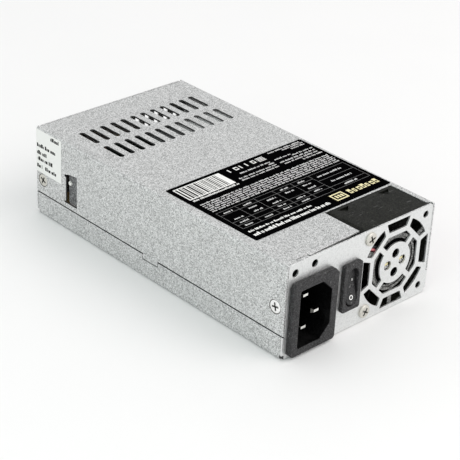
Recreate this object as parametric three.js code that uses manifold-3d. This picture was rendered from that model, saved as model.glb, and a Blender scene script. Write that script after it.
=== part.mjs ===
// Flex-ATX (1U) power supply unit, in millimetres, +Z up.
// Origin: centre of the case's underside. -Y is the rear panel with the mains inlet and the fan,
// +Y is the cable end, and -X is the long side that the inlet is nearest to.
import * as THREE from 'three';
import { mergeVertices } from 'three/addons/utils/BufferGeometryUtils.js';
import Module from 'manifold-3d';

const wasm = await Module();
wasm.setup();

// ---- driving dimensions -------------------------------------------------------------------

const WIDTH = 81.5;
const LENGTH = 150;
const HEIGHT = 40.5;
const SHEET = 0.8;
const LOOSE = 0.15;                      // gap between folded sheets that meet
const TOUCH = 0.05;                      // gap between pieces that rest on each other
const BEND = 1.2;                        // outside radius of a fold
const SEAM_Z = 10;                       // where the cover's sides meet the tray's flanges

const HALF_W = WIDTH / 2;
const REAR = -LENGTH / 2;
const FAR = LENGTH / 2;
const FLOOR = SHEET;
const PANEL_HALF = HALF_W - SHEET - LOOSE;

const FAN = { x: 19.85, z: 20.6, width: 39.7, height: 39.5, depth: 20, bore: 18.8, pitch: 32 };
const FAN_FRONT = REAR + SHEET + TOUCH;
const FAN_BACK = FAN_FRONT + FAN.depth;

const GRILLE = {
  hub: 8.8, innerApothem: 12.5, outerApothem: 14.6, reach: 18.7,
  hubHole: 2, hubHoleAt: 4.2, diagonalSpoke: 2.2, cornerSpoke: 2,
};

const INLET = { x: -26.75, z: 16.75, width: 24, height: 31.5, proud: 2.5, back: REAR + 17 };
const SOCKET = { x: -26.65, z: 16.5, width: 16.8, height: 25, chamfer: 5, floor: REAR + 14 };
const PIN = { width: 4, thick: 2, liveX: -28.65, earthX: -24.65, pitch: 14, tabEnd: REAR + 24 };

const SWITCH = { x: -6.1, z: 19.95, width: 9.9, height: 20.7, proud: 1.9, back: REAR + 14 };
const ROCKER = { x: -6.15, z: 19.75, width: 6, length: 16.5, pivotY: REAR + 1.5, tilt: 9 };

const BOARD = { half: 38.5, front: REAR + 27, end: FAR - 4, z: 5.2, thick: 1.6 };
const BOARD_TOP = BOARD.z + BOARD.thick;
const SEAT = BOARD_TOP + TOUCH;
const BOSSES = [[-34, -42], [34, -42], [-34, 58], [34, 58]];

const SLOTS = { count: 12, pitch: 5.5, firstX: -30.25, width: 2.4, length: 12, rows: [36.5, 52.5] };
const WINDOW = { left: -0.25, right: 37.75, depth: 20.85 };
const SIDE_WINDOW = { near: 47.7, far: 55, low: 12.5, high: 27 };
const TONGUE = { from: -4, to: 5, low: 7.5 };
const TAB = { left: -34.25, right: -28.75, depth: 1.9 };
const OUTLET = { x: -15.5, z: 13.2, width: 22, height: 13, corner: 5 };
const END_SLOTS = { count: 5, firstX: 14.25, low: 16.2, high: 31, firstLow: 26, lastHigh: 25.8 };
const EARTH_SCREW = { x: -30, y: -53 };
const FAN_SOCKET = { x: 20, y: -44, top: 12 };
const SHEET_RIVET = { y: 53, z: 22.1 };
const INSULATOR = { near: REAR + 39, bend: 43, far: 54.2, right: 28, wallLow: 12.9, top: 37, thick: 0.4 };

// Cover screws: side (-1 or +1), distance along Y, height
const COVER_SCREWS = [
  { side: -1, y: REAR + 5, z: 21.3 },
  { side: -1, y: FAR - 4.3, z: 16.7 },
  { side: 1, y: REAR + 30, z: 21.3 },
  { side: 1, y: FAR - 4.3, z: 16.7 },
];

// ---- materials ----------------------------------------------------------------------------

const paint = (color, roughness, metalness) =>
  new THREE.MeshStandardMaterial({ color, roughness, metalness, flatShading: true });

const MATERIALS = {
  steel: paint(0xb9bcbb, 0.42, 0.85),
  screw: paint(0xcfccc2, 0.3, 0.95),
  brass: paint(0xc9a24e, 0.35, 0.9),
  nickel: paint(0xd6d6d2, 0.25, 0.95),
  blackPlastic: paint(0x46464a, 0.6, 0),
  fanPlastic: paint(0x33332f, 0.55, 0),
  whitePlastic: paint(0xe8e8e4, 0.5, 0),
  sheetPlastic: paint(0x3c3d3e, 0.5, 0),
  board: paint(0x7c6a3a, 0.6, 0),
  darkBoard: paint(0x16241c, 0.5, 0),
  aluminium: paint(0xa8aaad, 0.4, 0.9),
  ferrite: paint(0x2c2b2d, 0.75, 0.1),
  tape: paint(0xd3b53c, 0.45, 0),
  copper: paint(0xa65f33, 0.4, 0.6),
  toroid: paint(0xa9a24b, 0.6, 0),
  sleeve: paint(0x1f3a52, 0.4, 0),
  epoxy: paint(0x1c1c1e, 0.6, 0),
  ceramic: paint(0xe9e5da, 0.6, 0),
  labelBlack: paint(0x0c0c0d, 0.35, 0),
  labelWhite: paint(0xf2f2f0, 0.5, 0),
  red: paint(0xb8242b, 0.5, 0),
  black: paint(0x151515, 0.5, 0),
  blue: paint(0x2b5fa8, 0.5, 0),
  green: paint(0x5c8a2a, 0.5, 0),
};

// ---- solid helpers ------------------------------------------------------------------------

function toSolid(geometry) {
  const bare = geometry.clone();
  bare.deleteAttribute('normal');
  bare.deleteAttribute('uv');
  const merged = mergeVertices(bare, 1e-4);
  const index = merged.index.array;
  const triangles = [];
  for (let i = 0; i < index.length; i += 3) {
    const [a, b, c] = [index[i], index[i + 1], index[i + 2]];
    if (a !== b && b !== c && c !== a) triangles.push(a, b, c);
  }
  const mesh = new wasm.Mesh({
    numProp: 3,
    vertProperties: new Float32Array(merged.attributes.position.array),
    triVerts: new Uint32Array(triangles),
  });
  return new wasm.Manifold(mesh);
}

function toGeometry(solid) {
  const mesh = solid.getMesh();
  const geometry = new THREE.BufferGeometry();
  geometry.setAttribute('position', new THREE.BufferAttribute(mesh.vertProperties, 3));
  geometry.setIndex(new THREE.BufferAttribute(mesh.triVerts, 1));
  geometry.computeVertexNormals();
  return geometry;
}

const join = (first, ...others) => others.reduce((sum, solid) => sum.add(solid), first);
const cut = (body, ...tools) => tools.reduce((rest, tool) => rest.subtract(tool), body);

function box(x0, x1, y0, y1, z0, z1) {
  const geometry = new THREE.BoxGeometry(x1 - x0, y1 - y0, z1 - z0);
  geometry.translate((x0 + x1) / 2, (y0 + y1) / 2, (z0 + z1) / 2);
  return toSolid(geometry);
}

// Bases that turn a shape's x, y and depth into the object's axes
const AXES = {
  x: new THREE.Matrix4().makeBasis(new THREE.Vector3(0, 1, 0), new THREE.Vector3(0, 0, 1),
    new THREE.Vector3(1, 0, 0)),
  y: new THREE.Matrix4().makeBasis(new THREE.Vector3(1, 0, 0), new THREE.Vector3(0, 0, 1),
    new THREE.Vector3(0, -1, 0)),
  z: new THREE.Matrix4(),
};

// Prism of a shape between two positions along an axis. The shape lies in (Y, Z), (X, Z) or (X, Y).
// Each arc in the shape becomes twice curveSegments straight steps.
function prism(axis, shape, from, to, curveSegments = 2) {
  const geometry = new THREE.ExtrudeGeometry(shape, {
    depth: to - from, bevelEnabled: false, curveSegments,
  });
  geometry.applyMatrix4(AXES[axis]);
  if (axis === 'x') geometry.translate(from, 0, 0);
  if (axis === 'y') geometry.translate(0, to, 0);
  if (axis === 'z') geometry.translate(0, 0, from);
  return toSolid(geometry);
}

// Closed outline from corners [x, y, radius], each rounded by its own arc
function outline(corners) {
  const path = new THREE.Shape();
  corners.forEach(([x, y, radius = 0], i) => {
    const here = new THREE.Vector2(x, y);
    if (radius === 0) {
      if (i === 0) path.moveTo(x, y);
      else path.lineTo(x, y);
      return;
    }
    const [px, py] = corners[(i + corners.length - 1) % corners.length];
    const [nx, ny] = corners[(i + 1) % corners.length];
    const back = new THREE.Vector2(px, py).sub(here).normalize();
    const ahead = new THREE.Vector2(nx, ny).sub(here).normalize();
    const half = Math.acos(back.dot(ahead)) / 2;
    const middle = back.clone().add(ahead).normalize();
    const centre = here.clone().addScaledVector(middle, radius / Math.sin(half));
    const start = here.clone().addScaledVector(back, radius / Math.tan(half)).sub(centre);
    const end = here.clone().addScaledVector(ahead, radius / Math.tan(half)).sub(centre);
    const clockwise = back.cross(ahead) > 0;
    path.absarc(centre.x, centre.y, radius, start.angle(), end.angle(), clockwise);
  });
  return path;
}

function rectangle(x0, x1, y0, y1, radius = 0) {
  return outline([[x0, y0, radius], [x1, y0, radius], [x1, y1, radius], [x0, y1, radius]]);
}

const centred = (x, y, width, height, radius) =>
  rectangle(x - width / 2, x + width / 2, y - height / 2, y + height / 2, radius);

function regularPolygon(x, y, apothem, sides) {
  const radius = apothem / Math.cos(Math.PI / sides);
  const corners = [];
  for (let i = 0; i < sides; i++) {
    const angle = (2 * Math.PI * (i + 0.5)) / sides;
    corners.push([x + radius * Math.cos(angle), y + radius * Math.sin(angle)]);
  }
  return outline(corners);
}

// Round solid about an axis; the profile is [radius, distance along the axis], from axis to axis
function turned(axis, profile, position, sides = 20) {
  const points = profile.map(([radius, along]) => new THREE.Vector2(radius, along));
  const geometry = new THREE.LatheGeometry(points, sides);
  if (axis === 'z') geometry.rotateX(Math.PI / 2);
  if (axis === 'x') geometry.rotateZ(-Math.PI / 2);
  if (axis === '-x') geometry.rotateZ(Math.PI / 2);
  geometry.translate(...position);
  const solid = toSolid(geometry);
  return solid.volume() < 0 ? toSolid(flipped(geometry)) : solid;
}

function flipped(geometry) {
  const index = geometry.index.array;
  for (let i = 0; i < index.length; i += 3) {
    [index[i], index[i + 1]] = [index[i + 1], index[i]];
  }
  return geometry;
}

const rod = (axis, radius, from, to, position, sides = 20) =>
  turned(axis, [[0, from], [radius, from], [radius, to], [0, to]], position, sides);

// Ring with a rectangular section: the profile closes on itself
const ring = (axis, inner, outer, from, to, position, sides = 32) =>
  turned(axis, [[inner, from], [outer, from], [outer, to], [inner, to], [inner, from]], position, sides);

// Box laid radially in the (X, Z) plane around a centre, at an angle in degrees
function radialBar(x, z, degrees, inner, outer, width, y0, y1) {
  const geometry = new THREE.BoxGeometry(outer - inner, y1 - y0, width);
  geometry.translate((inner + outer) / 2, (y0 + y1) / 2, 0);
  geometry.rotateY(-THREE.MathUtils.degToRad(degrees));
  geometry.translate(x, 0, z);
  return toSolid(geometry);
}

function wire(points, radius, steps = 12) {
  const curve = new THREE.CatmullRomCurve3(points.map((point) => new THREE.Vector3(...point)));
  const section = new THREE.Shape();
  section.absarc(0, 0, radius, 0, 2 * Math.PI, false);
  return toSolid(new THREE.ExtrudeGeometry(section, { steps, curveSegments: 4, extrudePath: curve }));
}

const unit = new THREE.Group();

function add(name, solid, material) {
  const mesh = new THREE.Mesh(toGeometry(solid), material);
  mesh.name = name;
  unit.add(mesh);
}

// ---- case ---------------------------------------------------------------------------------

// Cuts for the stamped fan grille: four windows round the hub, four straight and four round slots
function grilleCuts(y0, y1) {
  const { x, z } = FAN;
  const disc = (radius) => rod('y', radius, y0, y1, [x, 0, z], 32);
  const octagon = (apothem) => prism('y', regularPolygon(x, z, apothem, 8), y0, y1);
  let inner = cut(octagon(GRILLE.innerApothem), disc(GRILLE.hub));
  let straight = prism('y', centred(x, z, 2 * GRILLE.reach, 13.6, 0), y0, y1);
  straight = straight.add(prism('y', centred(x, z, 13.6, 2 * GRILLE.reach, 0), y0, y1));
  let outer = cut(straight.add(disc(GRILLE.reach)), octagon(GRILLE.outerApothem));
  for (let i = 0; i < 4; i++) {
    inner = inner.subtract(radialBar(x, z, 45 + 90 * i, 0, 20, GRILLE.diagonalSpoke, y0, y1));
  }
  for (let i = 0; i < 8; i++) {
    outer = outer.subtract(radialBar(x, z, 22.5 + 45 * i, 10, 24, GRILLE.cornerSpoke, y0, y1));
  }
  const cuts = [inner, outer];
  for (let i = 0; i < 4; i++) {
    const angle = (Math.PI / 2) * i;
    const holeX = x + GRILLE.hubHoleAt * Math.cos(angle);
    const holeZ = z + GRILLE.hubHoleAt * Math.sin(angle);
    cuts.push(rod('y', GRILLE.hubHole, y0, y1, [holeX, 0, holeZ], 12));
  }
  return cuts;
}

// End panel outline, seen along Y: full width below the seam, inside the cover above it
function panelOutline() {
  return outline([
    [-HALF_W, 0], [HALF_W, 0], [HALF_W, SEAM_Z - TOUCH], [PANEL_HALF, SEAM_Z - TOUCH],
    [PANEL_HALF, HEIGHT - TOUCH, 1.8], [-PANEL_HALF, HEIGHT - TOUCH, 1.8],
    [-PANEL_HALF, SEAM_Z - TOUCH], [-HALF_W, SEAM_Z - TOUCH],
  ]);
}

function bottomTray() {
  const inside = HALF_W - SHEET;
  const fold = BEND - SHEET;
  const channel = outline([
    [-HALF_W, SEAM_Z - TOUCH], [-HALF_W, 0, BEND], [HALF_W, 0, BEND], [HALF_W, SEAM_Z - TOUCH],
    [inside, SEAM_Z - TOUCH], [inside, FLOOR, fold], [-inside, FLOOR, fold], [-inside, SEAM_Z - TOUCH],
  ]);
  const flangeEnd = SHEET + LOOSE;
  const flanges = prism('y', channel, REAR + flangeEnd, FAR - flangeEnd);
  const floor = box(-inside, inside, REAR + SHEET / 2, FAR - SHEET / 2, 0, FLOOR);
  const rearPanel = prism('y', panelOutline(), REAR, REAR + SHEET);
  const farPanel = prism('y', panelOutline(), FAR - SHEET, FAR);
  const lug = box(TAB.left, TAB.right, REAR, REAR + TAB.depth, HEIGHT - SHEET, HEIGHT - TOUCH);
  let tray = join(flanges, floor, rearPanel, farPanel, lug);

  // ears and uprights that the cover's side screws thread into
  const ear = { outer: PANEL_HALF, inner: PANEL_HALF - SHEET };
  tray = join(tray,
    box(-ear.outer, -ear.inner, REAR + TOUCH, REAR + 11, 16, 27),
    box(-ear.outer, -ear.inner, FAR - 11, FAR - TOUCH, 11.5, 22),
    box(ear.inner, ear.outer, FAR - 11, FAR - TOUCH, 11.5, 22),
    box(ear.inner, ear.outer, REAR + 25, REAR + 35, 0.4, 26));
  for (const { side, y, z } of COVER_SCREWS) {
    tray = tray.subtract(rod('x', 1.7, -3, 3, [side * (HALF_W - 1), y, z], 12));
  }

  // pressed bosses under the circuit board
  for (const [x, y] of BOSSES) {
    tray = tray.add(rod('z', 3.2, FLOOR / 2, BOARD.z - TOUCH, [x, y, 0], 16));
    tray = tray.subtract(rod('z', 1.65, 1.2, BOARD.z + 1, [x, y, 0], 12));
  }
  tray = tray.subtract(rod('z', 1.75, -1, 2, [EARTH_SCREW.x, EARTH_SCREW.y, 0], 12));

  return cut(tray, ...trayReliefs(), ...rearPanelCuts(), ...farPanelCuts());
}

// Bend reliefs at the four lower corners and the notches that take the cover's tongues
function trayReliefs() {
  const cuts = [];
  for (const side of [-1, 1]) {
    const [near, away] = side < 0 ? [-HALF_W - 1, -HALF_W + 1.1] : [HALF_W - 1.1, HALF_W + 1];
    cuts.push(box(near, away, REAR - 1, REAR + 1.1, -1, 1.6));
    cuts.push(box(near, away, FAR - 1.1, FAR + 1, -1, 1.6));
    const [low, high] = side < 0 ? [-HALF_W - 1, -HALF_W + SHEET + 0.1] : [HALF_W - SHEET - 0.1, HALF_W + 1];
    cuts.push(box(low, high, TONGUE.from - 0.2, TONGUE.to + 0.2, TONGUE.low - 0.2, SEAM_Z + 1));
  }
  return cuts;
}

function rearPanelCuts() {
  const y0 = REAR - 1;
  const y1 = REAR + SHEET + 1;
  const cuts = grilleCuts(y0, REAR + SHEET + 0.5);
  const half = FAN.pitch / 2;
  for (const sideX of [-1, 1]) {
    for (const sideZ of [-1, 1]) {
      const radius = sideX < 0 ? 1.9 : 1.5;
      cuts.push(rod('y', radius, y0, y1, [FAN.x + sideX * half, 0, FAN.z + sideZ * half], 12));
    }
  }
  cuts.push(rod('y', 1.6, y0, y1, [-36.35, 0, 36.2], 12));
  cuts.push(rod('y', 1.6, y0, y1, [-26.25, 0, 36.8], 12));
  cuts.push(prism('y', centred(INLET.x + 0.15, INLET.z, 20.7, 28.7, 1), y0, y1, 1));
  cuts.push(prism('y', centred(SWITCH.x, SWITCH.z, 8.5, 18.8, 0.6), y0, y1, 1));
  return cuts;
}

// Cable outlet and air slots in the far end; the first slot is short at its foot, the last at its head
function farPanelCuts() {
  const cuts = [prism('y', centred(OUTLET.x, OUTLET.z, OUTLET.width, OUTLET.height, OUTLET.corner),
    FAR - 2, FAR + 1)];
  const { count, firstX, low, high, firstLow, lastHigh } = END_SLOTS;
  const half = SLOTS.width / 2;
  for (let i = 0; i < count; i++) {
    const x = firstX + SLOTS.pitch * i;
    const slot = rectangle(x - half, x + half, i ? low : firstLow, i < count - 1 ? high : lastHigh, half - 0.01);
    cuts.push(prism('y', slot, FAR - 2, FAR + 1, 1));
  }
  return cuts;
}

function topCover() {
  const inside = HALF_W - SHEET;
  const top = HEIGHT - SHEET;
  const fold = BEND - SHEET;
  const edge = SEAM_Z + LOOSE;
  const channel = outline([
    [-HALF_W, edge], [-inside, edge], [-inside, top, fold], [inside, top, fold],
    [inside, edge], [HALF_W, edge], [HALF_W, HEIGHT, BEND], [-HALF_W, HEIGHT, BEND],
  ]);
  let cover = prism('y', channel, REAR, FAR);
  for (const side of [-1, 1]) {
    const [x0, x1] = side < 0 ? [-HALF_W, -inside] : [inside, HALF_W];
    cover = cover.add(box(x0, x1, TONGUE.from, TONGUE.to, TONGUE.low, edge + 1));
  }

  // the top stops just behind both end panels, and steps back further for the rear panel's lug
  const behind = SHEET + 0.3;
  cover = cut(cover,
    box(-inside, inside, REAR - 1, REAR + behind, top - 1, HEIGHT + 1),
    box(-inside, inside, FAR - behind, FAR + 1, top - 1, HEIGHT + 1),
    box(TAB.left - 0.3, TAB.right + 0.3, REAR - 1, REAR + TAB.depth + 0.3, top - 1, HEIGHT + 1),
    box(WINDOW.left, WINDOW.right, REAR - 1, REAR + WINDOW.depth, top - 1, HEIGHT + 1));

  for (const rowY of SLOTS.rows) {
    for (let i = 0; i < SLOTS.count; i++) {
      const x = SLOTS.firstX + SLOTS.pitch * i;
      const slot = centred(x, rowY, SLOTS.width, SLOTS.length, SLOTS.width / 2 - 0.01);
      cover = cover.subtract(prism('z', slot, top - 1, HEIGHT + 1, 1));
    }
  }
  cover = cover.subtract(prism('x', sideWindowOutline(), -HALF_W - 1, -inside + 1));
  for (const { side, y, z } of COVER_SCREWS) {
    const axis = side < 0 ? '-x' : 'x';
    const hole = [[0, -2], [1.95, -2], [1.95, -SHEET], [2.8, 0], [2.8, 1], [0, 1]];
    cover = cover.subtract(turned(axis, hole, [side * HALF_W, y, z], 16));
  }
  return cover;
}

// Window with a small relief notch at each of its far corners, in (Y, Z)
function sideWindowOutline() {
  const { near, far, low, high } = SIDE_WINDOW;
  const notch = 0.9;
  return outline([
    [near, low], [far + notch, low], [far + notch, low + notch], [far, low + notch],
    [far, high - 1.6 - notch], [far + notch, high - 1.6 - notch], [far + notch, high - 1.6],
    [far - 2.4, high - 0.6], [near, high],
  ]);
}

// Countersunk cross-head screw with its flat head flush with the cover
function coverScrew({ side, y, z }) {
  const axis = side < 0 ? '-x' : 'x';
  const profile = [[0, -3.5], [1.1, -3.5], [1.45, -3], [1.45, -SHEET - 0.1], [2.55, -0.1], [0, -0.1]];
  const screw = turned(axis, profile, [side * HALF_W, y, z], 16);
  const face = side * (HALF_W - 0.1);
  const depth = side * 0.7;
  const [x0, x1] = [Math.min(face - depth, face + depth), Math.max(face - depth, face + depth)];
  return cut(screw, box(x0, x1, y - 1.5, y + 1.5, z - 0.35, z + 0.35),
    box(x0, x1, y - 0.35, y + 0.35, z - 1.5, z + 1.5));
}

function panHeadScrew(axis, position, headRadius, headHeight, shankRadius, shankLength, sides = 12) {
  const profile = [
    [0, -shankLength], [shankRadius, -shankLength], [shankRadius, 0], [headRadius, 0],
    [headRadius, headHeight * 0.35], [headRadius * 0.75, headHeight], [0, headHeight],
  ];
  return turned(axis, profile, position, sides);
}

// ---- fan ----------------------------------------------------------------------------------

const MOTOR = { base: 12.2, rim: 11, front: FAN_FRONT + 0.1, plate: FAN_FRONT + 0.55, back: FAN_FRONT + 1.55 };
const HUB = { outer: 11.3, inner: 10.65, mouth: FAN_FRONT + 3.2, end: FAN_FRONT + 17.5, cap: 1.1 };
const BLADES = { count: 7, reach: 18.2, chord: 5.6, thick: 0.9 };
const STRUT_ANGLES = [30, 150, 270];

function fanFrame() {
  const { x, z } = FAN;
  const square = centred(x, z, FAN.width, FAN.height, 2.5);
  let frame = prism('y', square, FAN_FRONT, FAN_BACK);
  frame = frame.subtract(rod('y', FAN.bore, FAN_FRONT - 1, FAN_BACK + 1, [x, 0, z], 36));
  for (const angle of STRUT_ANGLES) {
    frame = frame.add(radialBar(x, z, angle, 8, 19.4, 2.2, MOTOR.front, MOTOR.back + 0.2));
  }
  frame = join(frame,
    rod('y', MOTOR.base, MOTOR.front, MOTOR.back, [x, 0, z], 32),
    rod('y', 3.2, MOTOR.back - 0.5, FAN_FRONT + 14, [x, 0, z], 20));
  const half = FAN.pitch / 2;
  frame = cut(frame,
    rod('y', MOTOR.rim, MOTOR.front - 1, MOTOR.plate, [x, 0, z], 32),
    rod('y', 2.4, MOTOR.back + 0.2, FAN_FRONT + 15, [x, 0, z], 20));
  for (const sideX of [-1, 1]) {
    for (const sideZ of [-1, 1]) {
      const at = [x + sideX * half, 0, z + sideZ * half];
      frame = frame.subtract(rod('y', 2, FAN_FRONT - 1, FAN_BACK + 1, at, 12));
    }
  }
  // moulded pockets in each side, next to the corner posts
  for (let quarter = 0; quarter < 4; quarter++) {
    for (const side of [-1, 1]) {
      frame = frame.subtract(framePocket(quarter, side));
    }
  }
  // channel for the leads, and a rebate under the cover's narrow lip
  return cut(frame,
    box(x - 21, x - 13.5, FAN_FRONT - 1, FAN_FRONT + 2.2, 29.9, 33.5),
    box(WINDOW.right - 0.3, x + 21, FAN_FRONT - 1, FAN_BACK + 1, HEIGHT - SHEET - LOOSE, HEIGHT + 1));
}

function framePocket(quarter, side) {
  const depth = quarter % 2 === 0 ? FAN.height / 2 : FAN.width / 2;
  const centreY = FAN_FRONT + 17;
  const shape = outline([[side * 8.5, centreY + 1.4], [side * 11.6, centreY - 1.6], [side * 14.6, centreY + 1.4]]);
  const geometry = new THREE.ExtrudeGeometry(shape, { depth: 2, bevelEnabled: false });
  geometry.translate(0, 0, depth - 1);
  geometry.rotateY((quarter * Math.PI) / 2);
  geometry.translate(FAN.x, 0, FAN.z);
  return toSolid(geometry);
}

// Moulded impeller: a cup with seven pitched blades
function fanRotor() {
  const at = [FAN.x, 0, FAN.z];
  let rotor = rod('y', HUB.outer, HUB.mouth, HUB.end, at, 28);
  rotor = rotor.subtract(rod('y', HUB.inner, HUB.mouth - 1, HUB.end - HUB.cap, at, 28));
  const bounds = ring('y', HUB.inner + 0.2, BLADES.reach, HUB.mouth, HUB.end, at, 28);
  for (let i = 0; i < BLADES.count; i++) {
    const blade = bladeGeometry();
    blade.rotateY((2 * Math.PI * i) / BLADES.count);
    blade.translate(...at);
    rotor = rotor.add(toSolid(blade).intersect(bounds));
  }
  return rotor;
}

// One blade standing along +X: a thin cambered strip in (Z, Y), drawn out radially
function bladeGeometry() {
  const { chord, thick } = BLADES;
  const low = HUB.mouth + 1;
  const high = HUB.end - 1;
  const strip = new THREE.Shape();
  strip.moveTo(-chord, low);
  strip.quadraticCurveTo(1.5, (low + high) / 2 - 2, chord, high);
  strip.lineTo(chord - thick, high);
  strip.quadraticCurveTo(1.5 - 1.5 * thick, (low + high) / 2 - 1, -chord - thick, low);
  const depth = BLADES.reach + 1 - HUB.inner;
  const geometry = new THREE.ExtrudeGeometry(strip, { depth, bevelEnabled: false, curveSegments: 3 });
  geometry.rotateY(Math.PI / 2);
  geometry.translate(HUB.inner, 0, 0);
  return geometry;
}

// Four-pole laminated core
function fanStator() {
  const at = [FAN.x, 0, FAN.z];
  const [from, to] = [FAN_FRONT + 4.4, FAN_FRONT + 12.4];
  let core = ring('y', 3.5, 8.7, from, to, at, 16);
  for (let i = 0; i < 4; i++) {
    const angle = Math.PI / 4 + (Math.PI / 2) * i;
    const gap = [FAN.x + 6.2 * Math.cos(angle), 0, FAN.z + 6.2 * Math.sin(angle)];
    core = core.subtract(rod('y', 1.9, from - 1, to + 1, gap, 8));
    core = core.subtract(radialBar(FAN.x, FAN.z, 45 + 90 * i, 6, 10, 0.8, from - 1, to + 1));
  }
  return core;
}

function buildFan() {
  const at = [FAN.x, 0, FAN.z];
  add('fan_frame', fanFrame(), MATERIALS.fanPlastic);
  add('fan_rotor', fanRotor(), MATERIALS.fanPlastic);
  add('fan_magnet_ring', ring('y', 9.3, 10.5, FAN_FRONT + 4, FAN_FRONT + 15, at, 20), MATERIALS.ferrite);
  add('fan_shaft', rod('y', 1, FAN_FRONT + 2.2, HUB.end - HUB.cap - 0.1, at, 12), MATERIALS.nickel);
  add('fan_bearing', ring('y', 1.05, 2.3, FAN_FRONT + 2, FAN_FRONT + 13.8, at, 12), MATERIALS.brass);
  add('fan_stator', fanStator(), MATERIALS.ferrite);
  add('fan_circuit_board', ring('y', 3.6, 10.2, FAN_FRONT + 1.8, FAN_FRONT + 2.6, at, 20), MATERIALS.board);
  add('fan_hub_label', rod('y', 10.8, MOTOR.plate - 0.2, MOTOR.plate - TOUCH, at, 24), MATERIALS.labelBlack);
  const half = FAN.pitch / 2;
  [FAN.z + half, FAN.z - half].forEach((z, i) => {
    const screw = panHeadScrew('x', [0, 0, 0], 2.85, 1.7, 1.7, 9, 16);
    const turnedHead = screw.rotate([0, 0, -90]).translate([FAN.x - half, REAR - 0.02, z]);
    const cross = join(
      box(FAN.x - half - 1.8, FAN.x - half + 1.8, REAR - 2, REAR - 0.7, z - 0.4, z + 0.4),
      box(FAN.x - half - 0.4, FAN.x - half + 0.4, REAR - 2, REAR - 0.7, z - 1.8, z + 1.8));
    add(`fan_screw_${i + 1}`, turnedHead.subtract(cross), MATERIALS.screw);
  });
}

// Leads run along a strut, out through the frame's channel, back past the fan and down to the board
function fanLead(offset, exitZ, endX) {
  const angle = THREE.MathUtils.degToRad(STRUT_ANGLES[1]);
  const along = [Math.cos(angle), Math.sin(angle)];
  const beside = [Math.sin(angle), -Math.cos(angle)];
  const y = FAN_FRONT + 0.95;
  const spot = (radius) => [
    FAN.x + radius * along[0] + offset * beside[0], y, FAN.z + radius * along[1] + offset * beside[1],
  ];
  const side = FAN.x - FAN.width / 2;
  return wire([
    spot(12.6), spot(15.2), [side + 3.5, y, exitZ - 0.1], [side + 0.5, y, exitZ],
    [side - 1.4, y + 1.2, exitZ], [side - 1.8, y + 6, exitZ], [side - 1.8, y + 15, exitZ - 0.5],
    [side + 0.5, FAN_BACK + 3.5 + offset, exitZ - 5], [8, FAN_BACK + 3.5 + 1.5 * offset, exitZ - 11],
    [endX, FAN_BACK + 8.5, 13 + 1.5 * offset], [endX, FAN_BACK + 10.2, FAN_SOCKET.top + 0.3],
  ], 0.55, 26);
}

// ---- mains inlet --------------------------------------------------------------------------

function inletBody() {
  const { x, z, width, height } = INLET;
  const [left, right] = [x - width / 2, x + width / 2];
  const [low, high] = [z - height / 2, z + height / 2];
  const flange = prism('y', outline([
    [left, low, 2.2], [right, low, 1.6], [right, high - 2.2, 1], [right - 2.2, high, 1], [left, high, 2.2],
  ]), REAR - INLET.proud, REAR - TOUCH);
  const housing = prism('y', centred(x + 0.15, z, 20, 28, 1), REAR - 0.5, INLET.back, 1);
  const socket = prism('y', socketOutline(), REAR - INLET.proud - 1, SOCKET.floor, 1);
  const gap = 0.3;
  const pins = [
    [PIN.liveX, SOCKET.z - PIN.pitch / 2], [PIN.liveX, SOCKET.z + PIN.pitch / 2], [PIN.earthX, SOCKET.z],
  ].map(([pinX, pinZ]) => box(pinX - PIN.width / 2 - gap, pinX + PIN.width / 2 + gap,
    SOCKET.floor - 1, INLET.back + 1, pinZ - PIN.thick / 2 - gap, pinZ + PIN.thick / 2 + gap));
  return cut(join(flange, housing), socket, ...pins);
}

function socketOutline() {
  const { x, z, width, height, chamfer } = SOCKET;
  const [left, right] = [x - width / 2, x + width / 2];
  const [low, high] = [z - height / 2, z + height / 2];
  return outline([
    [left, low, 1], [right - chamfer, low], [right, low + chamfer],
    [right, high - chamfer], [right - chamfer, high], [left, high, 1],
  ]);
}

// Blade with a chamfered tip and a narrower solder tab behind
function inletPin(x, z, tipY) {
  const half = PIN.width / 2;
  const blade = outline([
    [x - half, INLET.back + 0.4], [x + half, INLET.back + 0.4], [x + half, tipY + 1],
    [x + half - 0.6, tipY], [x - half + 0.6, tipY], [x - half, tipY + 1],
  ].reverse());
  const flat = prism('z', blade, z - PIN.thick / 2, z + PIN.thick / 2);
  return flat.add(box(x - half, x + half, INLET.back, PIN.tabEnd, z - 0.4, z + 0.4));
}

function buildInlet() {
  add('inlet_body', inletBody(), MATERIALS.blackPlastic);
  add('inlet_pin_line', inletPin(PIN.liveX, SOCKET.z + PIN.pitch / 2, REAR + 1.2), MATERIALS.nickel);
  add('inlet_pin_neutral', inletPin(PIN.liveX, SOCKET.z - PIN.pitch / 2, REAR + 1.2), MATERIALS.nickel);
  add('inlet_pin_earth', inletPin(PIN.earthX, SOCKET.z, REAR - 1), MATERIALS.nickel);
}

// ---- rocker switch ------------------------------------------------------------------------

const TERMINALS = [SWITCH.z + 5, SWITCH.z - 5];
const TERMINAL_END = SWITCH.back + 7;

function switchBody() {
  const bezel = prism('y', centred(SWITCH.x, SWITCH.z, SWITCH.width, SWITCH.height, 1.2),
    REAR - SWITCH.proud, REAR - TOUCH);
  const housing = prism('y', centred(SWITCH.x, SWITCH.z, 7.9, 18.2, 0.6), REAR - 0.5, SWITCH.back, 1);
  const slot = prism('y', centred(ROCKER.x, ROCKER.z, ROCKER.width, ROCKER.length, ROCKER.width / 2 - 0.01),
    REAR - SWITCH.proud - 1, SWITCH.back - 3, 3);
  const holes = TERMINALS.map((z) => box(SWITCH.x - 2.2, SWITCH.x + 2.2, SWITCH.back - 4, SWITCH.back + 1,
    z - 0.7, z + 0.7));
  return cut(join(bezel, housing), slot, ...holes);
}

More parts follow.
